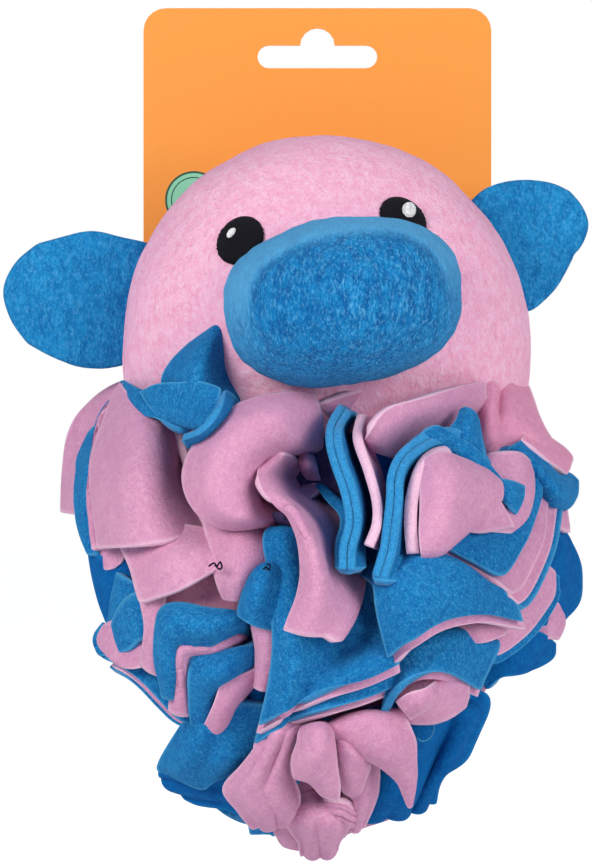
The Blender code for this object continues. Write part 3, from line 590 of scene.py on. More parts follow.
flap("stackBlue", "blue", "top", "right", "front_right_blue", net=(
    ((512, 470, -3), (512, 500, -1), (502, 520, 1), (484, 528, 2), (464, 528, 3), (442, 530, 3)),
    ((527, 470, 1), (528, 500, 3), (516, 532, 6), (496, 550, 8), (468, 546, 8), (442, 538, 7)),
    ((536, 474, 1), (537, 500, 3), (522, 545, 7), (501, 576, 9), (472, 563, 9), (443, 547, 8))))
flap("stackPink", "pink", "top", "right", "front_right_pink", under=(("pink", 0.0030), ("blue", 0.0048)),
     net=(
    ((520, 475, -8), (520, 505, -5), (508, 530, -3), (488, 542, -2), (464, 542, -2), (444, 540, -1)),
    ((534, 476, -3), (536, 505, -1), (526, 545, 2), (506, 572, 4), (474, 562, 4), (442, 548, 4)),
    ((544, 484, -2), (546, 508, 0), (536, 555, 3), (517, 592, 6), (496, 584, 7), (440, 552, 6))))
flap("rightRimPink", "pink", "top", "lowerRight", "front_right_pink", under=(("blue", 0.0022),), net=(
    ((522, 556, -12), (514, 580, -11), (504, 598, -9), (488, 610, -8), (466, 618, -6)),
    ((540, 562, -9), (535, 592, -7), (516, 616, -4), (492, 632, -2), (462, 632, 0)),
    ((552, 572, -8), (550, 600, -6), (526, 632, -2), (490, 656, 0), (460, 638, 1))))
flap("rightRimInner", "pink", "top", "lowerRight", "front_right_pink_inner", net=(
    ((462, 598, -5), (482, 594, -5), (504, 592, -5)),
    ((459, 622, 2), (480, 616, 3), (504, 612, 2)),
    ((458, 632, 3), (480, 630, 6), (505, 620, 4)),
    ((462, 638, 3), (482, 642, 6), (502, 634, 4))))
flap("rightBackBlue", "darkBlue", "left", "farRight", "front_right_blue", net=(
    ((540, 520, -16), (556, 522, -12), (567, 534, -12)),
    ((538, 556, -16), (562, 556, -11), (577, 566, -12)),
    ((534, 600, -16), (558, 600, -11), (576, 600, -12)),
    ((530, 622, -16), (548, 624, -12), (561, 620, -13))))
flap("rightBackPink", "pink", "left", "farRight", "front_right_pink", net=(
    ((540, 604, -15), (553, 602, -11), (560, 611, -12)),
    ((536, 620, -15), (553, 618, -10), (562, 624, -11)),
    ((532, 636, -15), (546, 638, -11), (555, 639, -12))))
flap("rightLowBlue", "darkBlue", "left", "farRight", "lower_right_blue", net=(
    ((520, 630, -15), (538, 632, -12), (552, 642, -13)),
    ((502, 650, -14), (524, 652, -11), (549, 657, -13)),
    ((484, 686, -14), (504, 676, -11), (527, 671, -12))))
flap("smallPinkRight", "pink", "left", "farRight", "front_right_pink", net=(
    ((540, 502, -10), (552, 504, -7), (563, 506, -8)),
    ((540, 514, -10), (553, 514, -7), (564, 515, -8)),
    ((542, 526, -11), (556, 528, -8), (566, 534, -9))))
flap("topRightRoll", "blue", "left", "topRight", "front_right_blue", net=(
    ((500, 450, 0), (512, 445, 5), (524, 439, 4)),
    ((508, 456, 0), (522, 452, 6), (532, 450, 4)),
    ((524, 470, 0), (536, 466, 8), (545, 464, 5)),
    ((538, 488, 0), (549, 482, 9), (557, 477, 6)),
    ((548, 500, -1), (561, 492, 10), (567, 473, 6)),
    ((560, 506, -4), (573, 498, 5), (577, 481, 2))))
flap("farTopRightPly", "warmPink", "top", "topRight", "front_right_pink", net=(
    ((520, 428, -4), (538, 436, -2), (554, 446, -3), (566, 456, -4)),
    ((521, 436, 3), (538, 442, 5), (554, 454, 5), (567, 465, 3)),
    ((518, 443, 4), (533, 452, 7), (549, 465, 7), (563, 476, 4))))
flap("bigBlue", "blue", "top", "lower", "front_blue", under=(("pink", 0.0026),), net=(
    ((372, 584, 8), (398, 567, 12), (430, 552, 12), (462, 566, 12), (496, 590, 10)),
    ((377, 604, 10), (404, 588, 17), (436, 580, 18), (470, 586, 16), (508, 600, 12)),
    ((383, 630, 11), (408, 612, 18), (440, 604, 19), (474, 603, 17), (517, 608, 13)),
    ((389, 658, 12), (410, 640, 17), (438, 622, 17), (476, 613, 16), (521, 621, 12))))
flap("lowerRightArch", "blue", "top", "lowerRight", "lower_front_blue", under=(("pink", 0.0018),), net=(
    ((398, 650, 2), (428, 634, 4), (460, 630, 4), (496, 644, 0)),
    ((392, 672, 5), (420, 660, 9), (456, 650, 9), (488, 664, 3)),
    ((384, 714, 7), (400, 686, 11), (440, 672, 12), (478, 690, 4))))
flap("lowerRightCurl", "pink", "left", "lowerRight", "lower_front_pink", net=(
    ((400, 692, 2), (418, 682, 5), (442, 674, 6), (464, 676, 4)),
    ((402, 704, 4), (424, 700, 10), (446, 694, 10), (466, 692, 5)),
    ((408, 718, 4), (426, 722, 8), (446, 717, 9), (462, 705, 4))))
flap("lowerRightCurlEdge", "pink", "right", "lowerRight", "lower_front_pink", net=(
    ((398, 700, 8), (410, 692, 12), (428, 686, 12)),
    ((404, 708, 10), (418, 700, 14), (434, 692, 12)),
    ((410, 716, 8), (424, 708, 12), (438, 698, 9))))
flap("point", "pink", "top", "bottom", "lower_front_pink", net=(
    ((322, 730, 5), (345, 721, 7), (370, 714, 8), (400, 712, 6)),
    ((345, 744, 6), (365, 738, 10), (388, 734, 11), (410, 734, 7)),
    ((376, 759, 7), (389, 756, 11), (401, 753, 11), (413, 750, 8)),
    ((397, 778, 8), (403, 778, 10), (409, 776, 10), (414, 774, 8)),
    ((403, 792, 8), (407, 792, 9), (410, 791, 9), (413, 789, 8)),
    ((406, 804, 8), (408, 805, 8), (409, 805, 8), (411, 803, 8))))
flap("tuftLeft", "pink", "top", "bottom", "bottom_pink", pleats=(2.5, 0.0015), step=0.0012, net=(
    ((271, 728, 3), (279, 728, 6), (287, 729, 7), (294, 730, 6), (301, 731, 2)),
    ((256, 750, 5), (267, 749, 9), (277, 750, 8), (286, 751, 8), (293, 752, 3)),
    ((241, 768, 6), (254, 770, 11), (268, 770, 10), (281, 769, 9), (291, 768, 3)),
    ((226, 787, 5), (242, 790, 11), (260, 791, 12), (280, 790, 10), (298, 788, 3)),
    ((240, 808, 5), (254, 810, 10), (270, 811, 11), (286, 809, 9), (299, 803, 4)),
    ((255, 823, 3), (264, 825, 6), (275, 825, 7), (284, 822, 6), (291, 817, 3))))
flap("tuftMiddle", "pink", "top", "bottom", "bottom_pink_inner", net=(
    ((303, 729, 8), (312, 727, 12), (322, 727, 12), (331, 733, 8)),
    ((300, 743, 11), (311, 742, 16), (323, 743, 17), (333, 748, 10)),
    ((295, 759, 12), (308, 760, 18), (322, 761, 18), (336, 766, 11)),
    ((294, 775, 10), (308, 777, 17), (322, 780, 17), (338, 784, 11)),
    ((297, 779, 8), (310, 782, 14), (323, 796, 14), (338, 798, 10))))
# painted shade: the darker pink stands for the pink in shadow in the tuft's hollow
flap("tuftHollow", "rosePink", "top", "bottom", "bottom_pink_inner", pleats=(4, 0.0014), step=0.0008, net=(
    ((292, 768, -9), (316, 768, -9), (346, 778, -8)),
    ((294, 790, -8), (318, 790, -8), (350, 796, -6)),
    ((296, 816, -5), (320, 816, -4), (352, 816, -4))))
flap("tuftGather", "pink", "right", "bottomDeep", "bottom_pink_inner", pleats=(4, 0.0022), step=0.0006, net=(
    ((324, 801, -1), (333, 799, 3), (343, 801, 4), (352, 806, 2)),
    ((321, 810, 0), (331, 809, 5), (342, 811, 6), (354, 817, 3)),
    ((318, 818, 1), (329, 818, 5), (341, 821, 5), (352, 825, 2))))
flap("tuftLobe", "pink", "top", "bottom", "bottom_pink", net=(
    ((276, 822, -1), (286, 826, 0), (296, 830, -1)),
    ((279, 834, 0), (288, 838, 2), (298, 840, 0)),
    ((285, 842, 0), (291, 844, 1), (298, 846, 0))))
flap("tuftRight", "pink", "top", "bottom", "bottom_pink", net=(
    ((334, 737, 6), (344, 744, 10), (356, 752, 9), (368, 761, 5)),
    ((338, 754, 4), (345, 760, 10), (354, 767, 9), (364, 776, 5)),
    ((341, 774, 2), (347, 778, 8), (353, 784, 8), (358, 791, 4)),
    ((344, 790, 1), (347, 792, 5), (350, 794, 4), (353, 797, 1))))
flap("tuftRightBack", "pink", "top", "bottom", "bottom_pink", pleats=(2, 0.0012), step=0.0012, net=(
    ((352, 776, -4), (360, 770, -1), (368, 762, 1), (375, 761, -1)),
    ((348, 798, -2), (357, 794, 3), (366, 789, 4), (375, 784, 0)),
    ((348, 816, 0), (356, 815, 5), (363, 812, 5), (370, 809, 1)),
    ((347, 830, 1), (352, 830, 4), (357, 828, 4), (362, 823, 1))))
flap("tuftCorner", "pink", "top", "bottomDeep", "bottom_pink_inner", pleats=(2.5, 0.0012), step=0.0012, net=(
    ((284, 814, 2), (299, 811, 4), (315, 810, 5), (332, 813, 5), (350, 818, 2)),
    ((290, 828, 3), (303, 828, 7), (317, 829, 8), (331, 830, 8), (346, 831, 3)),
    ((297, 840, 4), (307, 842, 8), (318, 844, 10), (330, 843, 8), (342, 840, 4)),
    ((300, 853, 5), (309, 856, 8), (319, 857, 8), (330, 856, 8), (340, 850, 5))))
flap("tuftBlue", "blue", "top", "bottom", "bottom_blue", net=(
    ((246, 790, -3), (266, 795, -2), (290, 798, -3)),
    ((249, 815, -2), (268, 820, 0), (296, 822, -2)),
    ((252, 831, -1), (272, 832, 1), (300, 836, -1))))
flap("bottomRightBlue", "darkBlue", "top", "bottom", "lower_right_blue", pleats=(3, 0.0018), net=(
    ((385, 706, -8), (412, 706, -4), (440, 708, -8), (466, 712, -6), (484, 694, -12)),
    ((380, 748, -9), (408, 750, -3), (434, 752, -8), (454, 748, -4), (468, 750, -10)),
    ((372, 788, -9), (400, 790, -3), (420, 786, -7), (434, 780, -4), (442, 772, -10)),
    ((366, 819, -8), (388, 818, -5), (406, 815, -7), (420, 809, -6), (433, 800, -10))))
flap("bottomLeftBlue", "blue", "right", "bottom", "lower_left_blue", net=(
    ((184, 724, -2), (205, 716, 1), (225, 708, 3), (246, 700, 0)),
    ((170, 746, -1), (192, 742, 6), (214, 738, 3), (240, 734, 1)),
    ((159, 766, -2), (184, 768, 6), (204, 766, 3), (230, 760, 3)),
    ((166, 770, -5), (190, 782, 1), (206, 786, 1), (222, 776, 0))))
flap("bottomLeftDeep", "darkBlue", "right", "bottom", "lower_left_blue", pleats=(2.5, 0.0015), net=(
    ((162, 764, -9), (190, 765, -8), (220, 758, -3), (248, 752, -4)),
    ((163, 779, -9), (192, 784, -8), (222, 786, -4), (250, 788, -4)),
    ((188, 797, -9), (206, 803, -8), (228, 806, -5), (254, 812, -5))))
flap("foldOne", "blue", "left", "lowerLeft", "lower_left_blue", net=(
    ((240, 614, 2), (205, 610, 7), (164, 609, 9), (160, 655, 8), (164, 697, 6)),
    ((240, 622, 4), (206, 627, 12), (172, 626, 14), (167, 658, 12), (170, 698, 8)),
    ((238, 632, 0), (212, 644, 6), (178, 645, 8), (176, 664, 8), (176, 698, 5))))
flap("foldTwo", "pink", "left", "lowerLeft", "lower_left_pink", net=(
    ((236, 632, -3), (206, 642, 3), (174, 645, 6), (172, 680, 6), (172, 711, 4)),
    ((237, 637, 1), (212, 648, 7), (182, 650, 11), (181, 680, 10), (181, 714, 6)),
    ((236, 644, -3), (216, 656, 1), (194, 658, 2), (192, 682, 2), (192, 715, 1))))
flap("foldThree", "blue", "left", "lowerLeft", "lower_left_blue", net=(
    ((254, 640, -2), (224, 652, 4), (191, 653, 6)),
    ((246, 668, 0), (217, 674, 10), (188, 682, 8)),
    ((220, 692, 0), (207, 702, 6), (190, 708, 5)),
    ((210, 724, 0), (202, 724, 3), (193, 723, 2))))
flap("foldFour", "pink", "left", "lowerLeft", "lower_left_pink", net=(
    ((258, 661, -3), (240, 674, 3), (221, 680, 6)),
    ((254, 678, -2), (236, 688, 5), (217, 692, 7)),
    ((236, 700, 0), (226, 706, 6), (213, 706, 6)),
    ((228, 718, 1), (219, 721, 5), (208, 719, 4)),
    ((222, 733, 0), (212, 735, 3), (201, 729, 2))))
flap("farLeftPocket", "pink", "right", "lowerLeft", "lower_left_pink", under=(("blue", 0.0010),), net=(
    ((106, 625, -3), (116, 620, -2), (134, 612, -4)),
    ((98, 638, -1), (112, 640, 1), (150, 634, -1)),
    ((102, 650, 1), (120, 656, 4), (152, 650, 2)),
    ((117, 661, 2), (132, 669, 5), (152, 665, 3))))
flap("farLeftBlue", "blue", "right", "lowerLeft", "lower_left_blue", net=(
    ((110, 632, -1), (120, 608, 0), (144, 592, -1)),
    ((114, 643, 1), (127, 634, 2), (148, 618, 1)),
    ((122, 653, 3), (133, 650, 4), (150, 638, 2))))
flap("lowerLeftRim", "blue", "bottom", "lowerLeft", "lower_left_blue",
     under=(("pink", 0.0010), ("blue", 0.0020)), net=(
    ((114, 664, -2), (132, 674, 0), (148, 688, 1), (163, 704, 1), (180, 719, 0), (204, 729, 0)),
    ((124, 654, -4), (142, 664, -3), (160, 676, -3), (176, 690, -3), (192, 706, -3), (214, 716, -4)),
    ((132, 644, -10), (152, 652, -10), (170, 662, -10), (190, 676, -10), (204, 692, -10), (224, 702, -11))))
flap("darkLeft", "darkBlue", "right", "farLeft", "front_left_blue", net=(
    ((92, 545, -7), (104, 555, -5), (128, 556, -6)),
    ((97, 585, -7), (110, 590, -4), (130, 588, -6)),
    ((108, 622, -7), (118, 624, -5), (134, 616, -6))))
flap("leftShadeBlue", "blue", "right", "lowerLeft", "front_left_blue", net=(
    ((122, 572, -5), (130, 578, -3), (148, 590, -5)),
    ((114, 606, -4), (126, 606, -1), (148, 606, -4)),
    ((108, 626, -4), (124, 626, -2), (148, 626, -4))))
flap("leftUnder", "pink", "top", "farLeft", "front_left_pink_inner", net=(
    ((97, 536, -8), (112, 538, -6), (128, 536, -7)),
    ((97, 552, -7), (112, 556, -4), (128, 552, -5)),
    ((100, 566, -6), (112, 570, -4), (124, 562, -5))))
flap("farLeftPink", "pink", "bottom", "farLeft", "front_left_pink", net=(
    ((128, 382, -10), (94, 399, -9), (73, 424, -7), (66, 462, -6), (64, 512, -6)),
    ((130, 392, -6), (104, 412, -4), (86, 440, -3), (77, 475, -3), (76, 515, -4)),
    ((134, 404, -11), (114, 428, -11), (100, 455, -11), (92, 485, -11), (90, 513, -11))))
flap("farLeftBlueBack", "blue", "bottom", "farLeft", "front_left_blue", net=(
    ((104, 418, -5), (85, 446, -4), (76, 484, -3), (78, 522, -3), (91, 556, -3)),
    ((110, 430, -5), (94, 460, -4), (87, 494, -4), (89, 528, -4), (99, 557, -4)),
    ((116, 440, -10), (104, 468, -10), (98, 500, -10), (99, 530, -10), (106, 557, -10))))
flap("snoutSideBlue", "blue", "bottom", "topLeft", "front_left_blue", net=(
    ((217, 327, 15), (219, 328, 16), (222, 330, 11)),
    ((190, 345, 13), (207, 347, 19), (228, 352, 3)),
    ((170, 366, 11), (198, 374, 18), (234, 376, -4)),
    ((164, 386, 6), (200, 392, 12), (244, 402, -8))))
flap("ovalBlue", "blue", "bottom", "topLeft", "front_left_blue", net=(
    ((143, 393, 8), (160, 384, 14), (180, 382, 16), (202, 382, 16), (222, 390, 14)),
    ((150, 403, 8), (166, 400, 11), (184, 400, 12), (204, 402, 14), (218, 410, 15)),
    ((166, 418, 6), (178, 420, 7), (190, 424, 9), (200, 428, 13), (206, 426, 15))))
flap("ovalBlueRim", "blue", "bottom", "topLeft", "front_left_blue", thickness=0.0016, net=(
    ((224, 390, 14), (221, 404, 18), (212, 418, 19), (198, 430, 18), (182, 437, 15)),
    ((232, 396, 8), (228, 410, 12), (217, 424, 13), (202, 437, 12), (186, 444, 9)),
    ((238, 404, -2), (234, 416, -2), (222, 430, -2), (206, 442, -2), (192, 447, -2))))
flap("smallBlueLeft", "blue", "right", "topLeft", "front_left_blue", net=(
    ((126, 381, 3), (136, 387, 7), (147, 394, 5)),
    ((123, 393, 3), (136, 401, 8), (157, 408, 5)),
    ((134, 404, 2), (152, 416, 6), (180, 430, 5))))
flap("knotBlue", "blue", "top", "lowerLeft", "lower_front_blue", net=(
    ((258, 574, 4), (264, 569, 8), (272, 567, 6), (280, 570, 4)),
    ((246, 594, 5), (255, 596, 11), (265, 598, 8), (278, 600, 6)),
    ((239, 615, 4), (250, 622, 8), (260, 627, 7), (274, 629, 4))))
flap("slimPink", "pink", "top", "lowerLeft", "lower_front_pink", net=(
    ((256, 622, 0), (265, 622, 4), (275, 624, 1)),
    ((260, 650, 0), (268, 652, 4), (277, 656, 1)),
    ((255, 686, 0), (262, 690, 3), (271, 688, 0))))
flap("deepBlueLeft", "darkBlue", "top", "lowerLeft", "lower_left_blue", pleats=(3, 0.0015), net=(
    ((232, 640, -9), (242, 640, -5), (252, 642, -9), (262, 644, -5), (280, 645, -9)),
    ((230, 690, -9), (240, 690, -3), (248, 692, -8), (258, 696, -3), (276, 700, -8)),
    ((226, 752, -8), (238, 750, -2), (248, 748, -7), (258, 742, -2), (274, 730, -8))))


def tucked(net, side, knot):
    # turns the net so that its sewn side comes first, and narrows that side towards its knot
    place = netPoint(*knots[knot])
    if side in ("left", "right"):
        net = [list(column) for column in zip(*net)]
    if side in ("bottom", "right"):
        net = net[::-1]
    edge = net[0]
    middle = sum(edge, Vector()) / len(edge)
    for share, width in flapLook["narrowing"]:
        centre = middle.lerp(place, share)
        net = [[centre + (point - middle) * width for point in edge]] + net
    return net


def lineLength(points):
    return sum((b - a).length for a, b in zip(points, points[1:]))


def netGrid(net, seed, ahead=0.0, step=flapLook["step"], pleats=(0, 0)):
    # a grid of cloth over the net, let out by ahead metres beyond its free end; pleats has their
    # number and their depth
    across, down = [max(flapLook["leastCells"], round(max(lineLength(line) for line in lines) / step))
                    for lines in (net, zip(*net))]
    bm = bmesh.new()
    bmesh.ops.create_grid(bm, x_segments=across, y_segments=down, size=0.5)
    columns, places = {}, {}
    for vert in bm.verts:
        u, v = vert.co.x + 0.5, 0.5 - vert.co.y
        key = round(u, 5)
        if key not in columns:
            column = [between(row, u) for row in net]
            if ahead:
                along = column[-1] - column[-2]
                along.y *= flapLook["keepsDepth"]
                column.append(column[-1] + along.normalized() * ahead)
            columns[key] = column
        places[vert] = u
        vert.co = between(columns[key], v)
    bm.normal_update()
    shift = Vector([seed * part for part in flapLook["seedShift"]])
    for vert in bm.verts:
        rise = lumps(vert.co + shift, flapLook) + lumps(vert.co + shift, flapLook, "dimple")
        wave = math.sin(math.pi * (pleats[0] * places[vert] + flapLook["pleatShift"] * seed))
        rise += pleats[1] * (abs(wave) - 0.5)
        vert.co += vert.normal * rise
    return bm


def clothPiece(name, bm, colour, stands, thickness=flapLook["thickness"]):
    # gives the cloth its wall and round cut edges; the size it was cut to is worked out but not used
    # rim marks each cut rim for the painted highlight of the fleece
    rim = bm.verts.layers.float.new("rim")
    for vert in bm.verts:
        vert[rim] = 1 if vert.is_boundary else 0
    area = sum(face.calc_area() for face in bm.faces)
    side = math.sqrt(area)
    corners = [vert for vert in bm.verts if len(vert.link_edges) == 2]
    long = max((a.co - b.co).length for a in corners for b in corners) if len(corners) > 1 else side
    width = max(side * flapLook["cutNarrow"], min(long, side * flapLook["cutWide"]), flapLook["cutLeast"])
    length = max(area / width, flapLook["cutLeast"])
    plain = "pink" if colour.lower().endswith("pink") else "blue"
    piece = keepMesh(name, bm, fleeces[colour], edges[plain])
    thicken(piece, thickness)
    soften(piece)
    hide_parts(stands)
    "fleece_deep_pink" if plain == "pink" else "fleece_blue"
    min(area, width * length)
    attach(piece, "root")


def makeFlaps():
    for seed, (name, look) in enumerate(flaps.items()):
        net = tucked([[netPoint(*spot) for spot in row] for row in look["net"]], look["tuck"], look["knot"])
        pleats = look.get("pleats", (0, 0))
        for number, side in enumerate(look.get("sides", (0,))):
            bm = netGrid(net, seed, step=look.get("step", flapLook["step"]), pleats=pleats)
            for vert in bm.verts:
                vert.co += vert.normal * side
            clothPiece("flap_" + name + "_side" * number, bm, look["colour"], look["stands"],
                       look.get("thickness", flapLook["thickness"]))
        for number, (colour, ahead) in enumerate(look.get("under", ())):
            bm = netGrid(net, seed, ahead, pleats=pleats)
            for vert in bm.verts:
                vert.co.y += flapLook["layerGap"] * (number + 1)
            clothPiece("flap_" + name + "_ply" + str(number + 2), bm, colour, look["stands"],
                       flapLook["plyThickness"])


# Loose ends of thread where the squares are sewn: pixel x, pixel y and lift along each
threadEnds = {
    "threadKnot": {"finish": "black", "radius": 0.00022,
                   "path": ((209, 566, 8), (214, 563, 10), (217, 566, 11), (220, 562, 11), (222, 567, 10),
                            (219, 569, 9), (215, 565, 8))},
    "threadKnotLow": {"finish": "black", "radius": 0.00020,
                      "path": ((262, 571, 10), (266, 567, 12), (269, 570, 12), (270, 565, 11),
                               (267, 564, 10))},
    "threadWisp": {"finish": "sky", "radius": 0.00016,
                   "path": ((430, 722, 2), (434, 727, 3), (432, 735, 4), (427, 740, 4), (421, 741, 4),
                            (417, 737, 3))},
}
threadLook = {"stops": 6, "sides": 6, "scale": 2600, "from": 0.35, "to": 0.65, "dark": 0.6, "depth": 0.0002,
              "rough": 0.8, "specular": 0.12, "sheenRough": 0.3}


def threadFinish(name, colour, sheen):
    finish = Finish(name)
    strands = finish.blotches(threadLook["scale"])
    shade = finish.mix(finish.between(strands, threadLook["from"], threadLook["to"]),
                       tuple(value * threadLook["dark"] for value in colour), colour)
    return finish.finish(colour=shade, normal=finish.bump(strands, threadLook["depth"]), sheen=sheen,
                         **{key: threadLook[key] for key in ("rough", "specular", "sheenRough")})


def makeThreadEnds():
    finishes = {"black": threadFinish("threadEndBlack", (0.006, 0.006, 0.02), 0.0),
                "sky": threadFinish("threadEndSky", (0.10, 0.42, 0.70), 0.2)}
    for name, end in threadEnds.items():
        path = [netPoint(*spot) for spot in end["path"]]
        stops = threadLook["stops"] * (len(path) - 1)
        line = [between(path, number / stops) for number in range(stops + 1)]
        bm = bmesh.new()
        ring = bmesh.ops.create_circle(bm, segments=threadLook["sides"], radius=end["radius"])["verts"]
        rings = [ring]
        for _ in line[1:]:
            sides = [edge for edge in bm.edges if all(vert in rings[-1] for vert in edge.verts)]
            made = bmesh.ops.extrude_edge_only(bm, edges=sides)["geom"]
            rings.append([item for item in made if isinstance(item, bmesh.types.BMVert)])
        for number, ring in enumerate(rings):
            ahead = line[min(number + 1, stops)] - line[max(number - 1, 0)]
            turn = Vector((0, 0, 1)).rotation_difference(ahead).to_matrix()
            for vert in ring:
                vert.co = line[number] + turn @ vert.co
        bmesh.ops.holes_fill(bm, edges=bm.edges)
        bmesh.ops.recalc_face_normals(bm, faces=bm.faces)
        piece = keepMesh(name, bm, finishes[end["finish"]])
        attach(piece, "root")


# Rosettes: gathered squares at the sides and the back. The angles are in degrees and half is half
# a square's side. Each has several plies that alternate in colour from the first, nearest the body.
rosetteColumns = ("stands", "azimuth", "elevation", "tilt", "opening", "phase", "folds", "half",
                  "first", "plies", "behind")
rosetteRows = (
    ("backLeft", "back_left", -112, 22, 20, 92, 10, 5, 0.037, "pink", 4),
    ("back", "back", 178, 20, 12, 92, 70, 5, 0.034, "blue", 4),
    ("backRight", "back_right", 116, 22, 20, 92, 40, 5, 0.037, "pink", 4),
    ("sideLeft", "front_left", -72, 16, 14, 88, 25, 5, 0.035, "blue", 3),
    ("sideRight", "front_right", 76, 14, 12, 88, 80, 5, 0.037, "blue", 3),
    ("lowerBackLeft", "lower_back_left", -140, -26, -34, 84, 15, 4, 0.030, "blue", 2),
    ("lowerBackRight", "lower_back_right", 146, -26, -34, 84, 45, 4, 0.030, "pink", 2),
    ("lowerLeft", "lower_left", -84, -24, -34, 80, 60, 4, 0.029, "pink", 2),
    ("lowerRight", "lower_right", 88, -24, -34, 80, 75, 4, 0.030, "blue", 2),
    ("bottom", "bottom", 160, -72, -74, 60, 0, 4, 0.026, "blue", 2),
    ("front", "front", 4, 20, 12, 92, 20, 5, 0.038, "pink", 2, 0.026),
    ("lowerFront", "lower_front", 8, -28, -30, 88, 35, 4, 0.035, "blue", 2, 0.016),
)
rosettes = {name: dict(zip(rosetteColumns, row)) for name, *row in rosetteRows}
rosetteLook = {"segments": 39, "cup": 0.004, "cupShare": 3, "rise": 0.003, "plyStep": 0.0030,
               "plyShrinks": 0.05, "plyCloses": 13, "startOpening": 14, "openAt": 1.2, "bend": 0.62,
               "foldDepth": 0.0058, "foldPower": 1.3, "foldDrift": 0.8, "smallFold": 0.45,
               "smallTurns": 2.3, "smallShift": 1.7, "swingShare": 0.8, "smoothing": 0.5,
               "topLimit": -0.0095, "floor": 0.128, "margin": 0.0016, "behind": 0.010,
               "softTop": 0.008, "softSide": 0.010, "faces": 0.2}
ways = {"up": (0, 0, 1), "down": (0, 0, -1), "right": (1, 0, 0), "left": (-1, 0, 0), "front": (0, -1, 0)}
# The toy's outline in the photograph: height under the head's middle, left and right (metres)
outline = ((-0.1280, -0.006, 0.003), (-0.1214, -0.018, 0.006), (-0.1160, -0.028, 0.022),
           (-0.1067, -0.039, 0.028), (-0.0968, -0.034, 0.033), (-0.0890, -0.043, 0.037),
           (-0.0815, -0.049, 0.044), (-0.0747, -0.054, 0.051), (-0.0617, -0.055, 0.060),
           (-0.0533, -0.057, 0.060), (-0.0414, -0.062, 0.058), (-0.0297, -0.062, 0.058),
           (-0.0195, -0.060, 0.054), (-0.0134, -0.056, 0.048))


def outlineAt(height):
    if height <= outline[0][0]:
        return outline[0][1:]
    for low, high in zip(outline, outline[1:]):
        if height <= high[0]:
            share = (height - low[0]) / (high[0] - low[0])
            return (low[1] + (high[1] - low[1]) * share, low[2] + (high[2] - low[2]) * share)
    return outline[-1][1:]


def pushedOut(point, toLocal, size, margin):
    # moves a point that lies inside an oval straight out to its skin
    local = toLocal.inverted() @ point
    reach = math.sqrt(sum((local[axis] / (size[axis] + margin)) ** 2 for axis in range(3)))
    if reach >= 1 or reach == 0:
        return point
    return toLocal @ (local / reach)


def eased(value, limit, soft):
    # bends a value gently so that it never passes its limit
    over = value - (limit - soft)
    return value if over <= 0 else limit - soft * math.exp(-over / soft)


def knotPlace(rosette):
    azimuth, elevation = math.radians(rosette["azimuth"]), math.radians(rosette["elevation"])
    size = toy["bodySize"]
    return bodyCentre + Vector((size[0] * math.cos(elevation) * math.sin(azimuth),
                                -size[1] * math.cos(elevation) * math.cos(azimuth),
                                size[2] * math.sin(elevation)))


def gathered(spot, rosette, number, seed, knot, axis, side):
    # where a point of the flat square comes to lie when its ply is gathered at the knot
    look = rosetteLook
    phase, start = math.radians(rosette["phase"]), math.radians(look["startOpening"])
    widest = math.radians(rosette["opening"] - look["plyCloses"] * number)
    half = rosette["half"] * (1 - look["plyShrinks"] * number)
    flat = math.hypot(spot.x, spot.y)
    turn = math.atan2(spot.y, spot.x) + phase
    length = flat * half
    share = min(length / (half * look["openAt"]), 1)
    mean = start + (widest - start) * share * look["bend"]
    spoke = side * math.cos(turn) + side.cross(axis) * math.sin(turn)
    out = look["cup"] * min(flat * look["cupShare"], 1) + length * math.sin(mean)
    rise = look["rise"] + number * look["plyStep"] + length * math.cos(mean)
    waves = rosette["folds"] * turn + phase
    fold = math.sin(waves + look["foldDrift"] * math.sin(waves * 0.5 + seed))
    fold += look["smallFold"] * math.sin(waves * look["smallTurns"] + seed * look["smallShift"] + share * 2)
    swing = look["foldDepth"] * share ** look["foldPower"]
    point = knot + axis * rise + spoke * out
    point += (axis * math.sin(mean) - spoke * math.cos(mean)) * fold * swing
    return point + spoke.cross(axis) * math.cos(waves) * swing * look["swingShare"]


def heldBack(point, walls, solids, margin, room, behind):
    # keeps a point off the neighbours, the stuffed parts, the card, the outline and the front flaps
    for middle, normal in walls:
        over = (point - middle).dot(normal) + margin
        if over > 0:
            point -= normal * over
    for toLocal, size in solids:
        point = pushedOut(point, toLocal, size, margin)
    local = point - headCentre
    if local.y > toy["cardFront"] - margin and local.z > toy["cardBottom"] - margin:
        local.z = toy["cardBottom"] - margin
    local.z = eased(local.z, rosetteLook["topLimit"] - room["up"], rosetteLook["softTop"])
    local.z = -eased(-local.z, rosetteLook["floor"] - room["down"], rosetteLook["softSide"])
    left, right = outlineAt(local.z)
    local.x = eased(local.x, right - room["right"], rosetteLook["softSide"])
    local.x = -eased(-local.x, -left - room["left"], rosetteLook["softSide"])
    if behind or local.y < 0:
        depth = moundDepth(*toPhoto(headCentre + local)) + (behind or rosetteLook["behind"])
        local.y = max(local.y, depth + room["front"])
    return headCentre + local


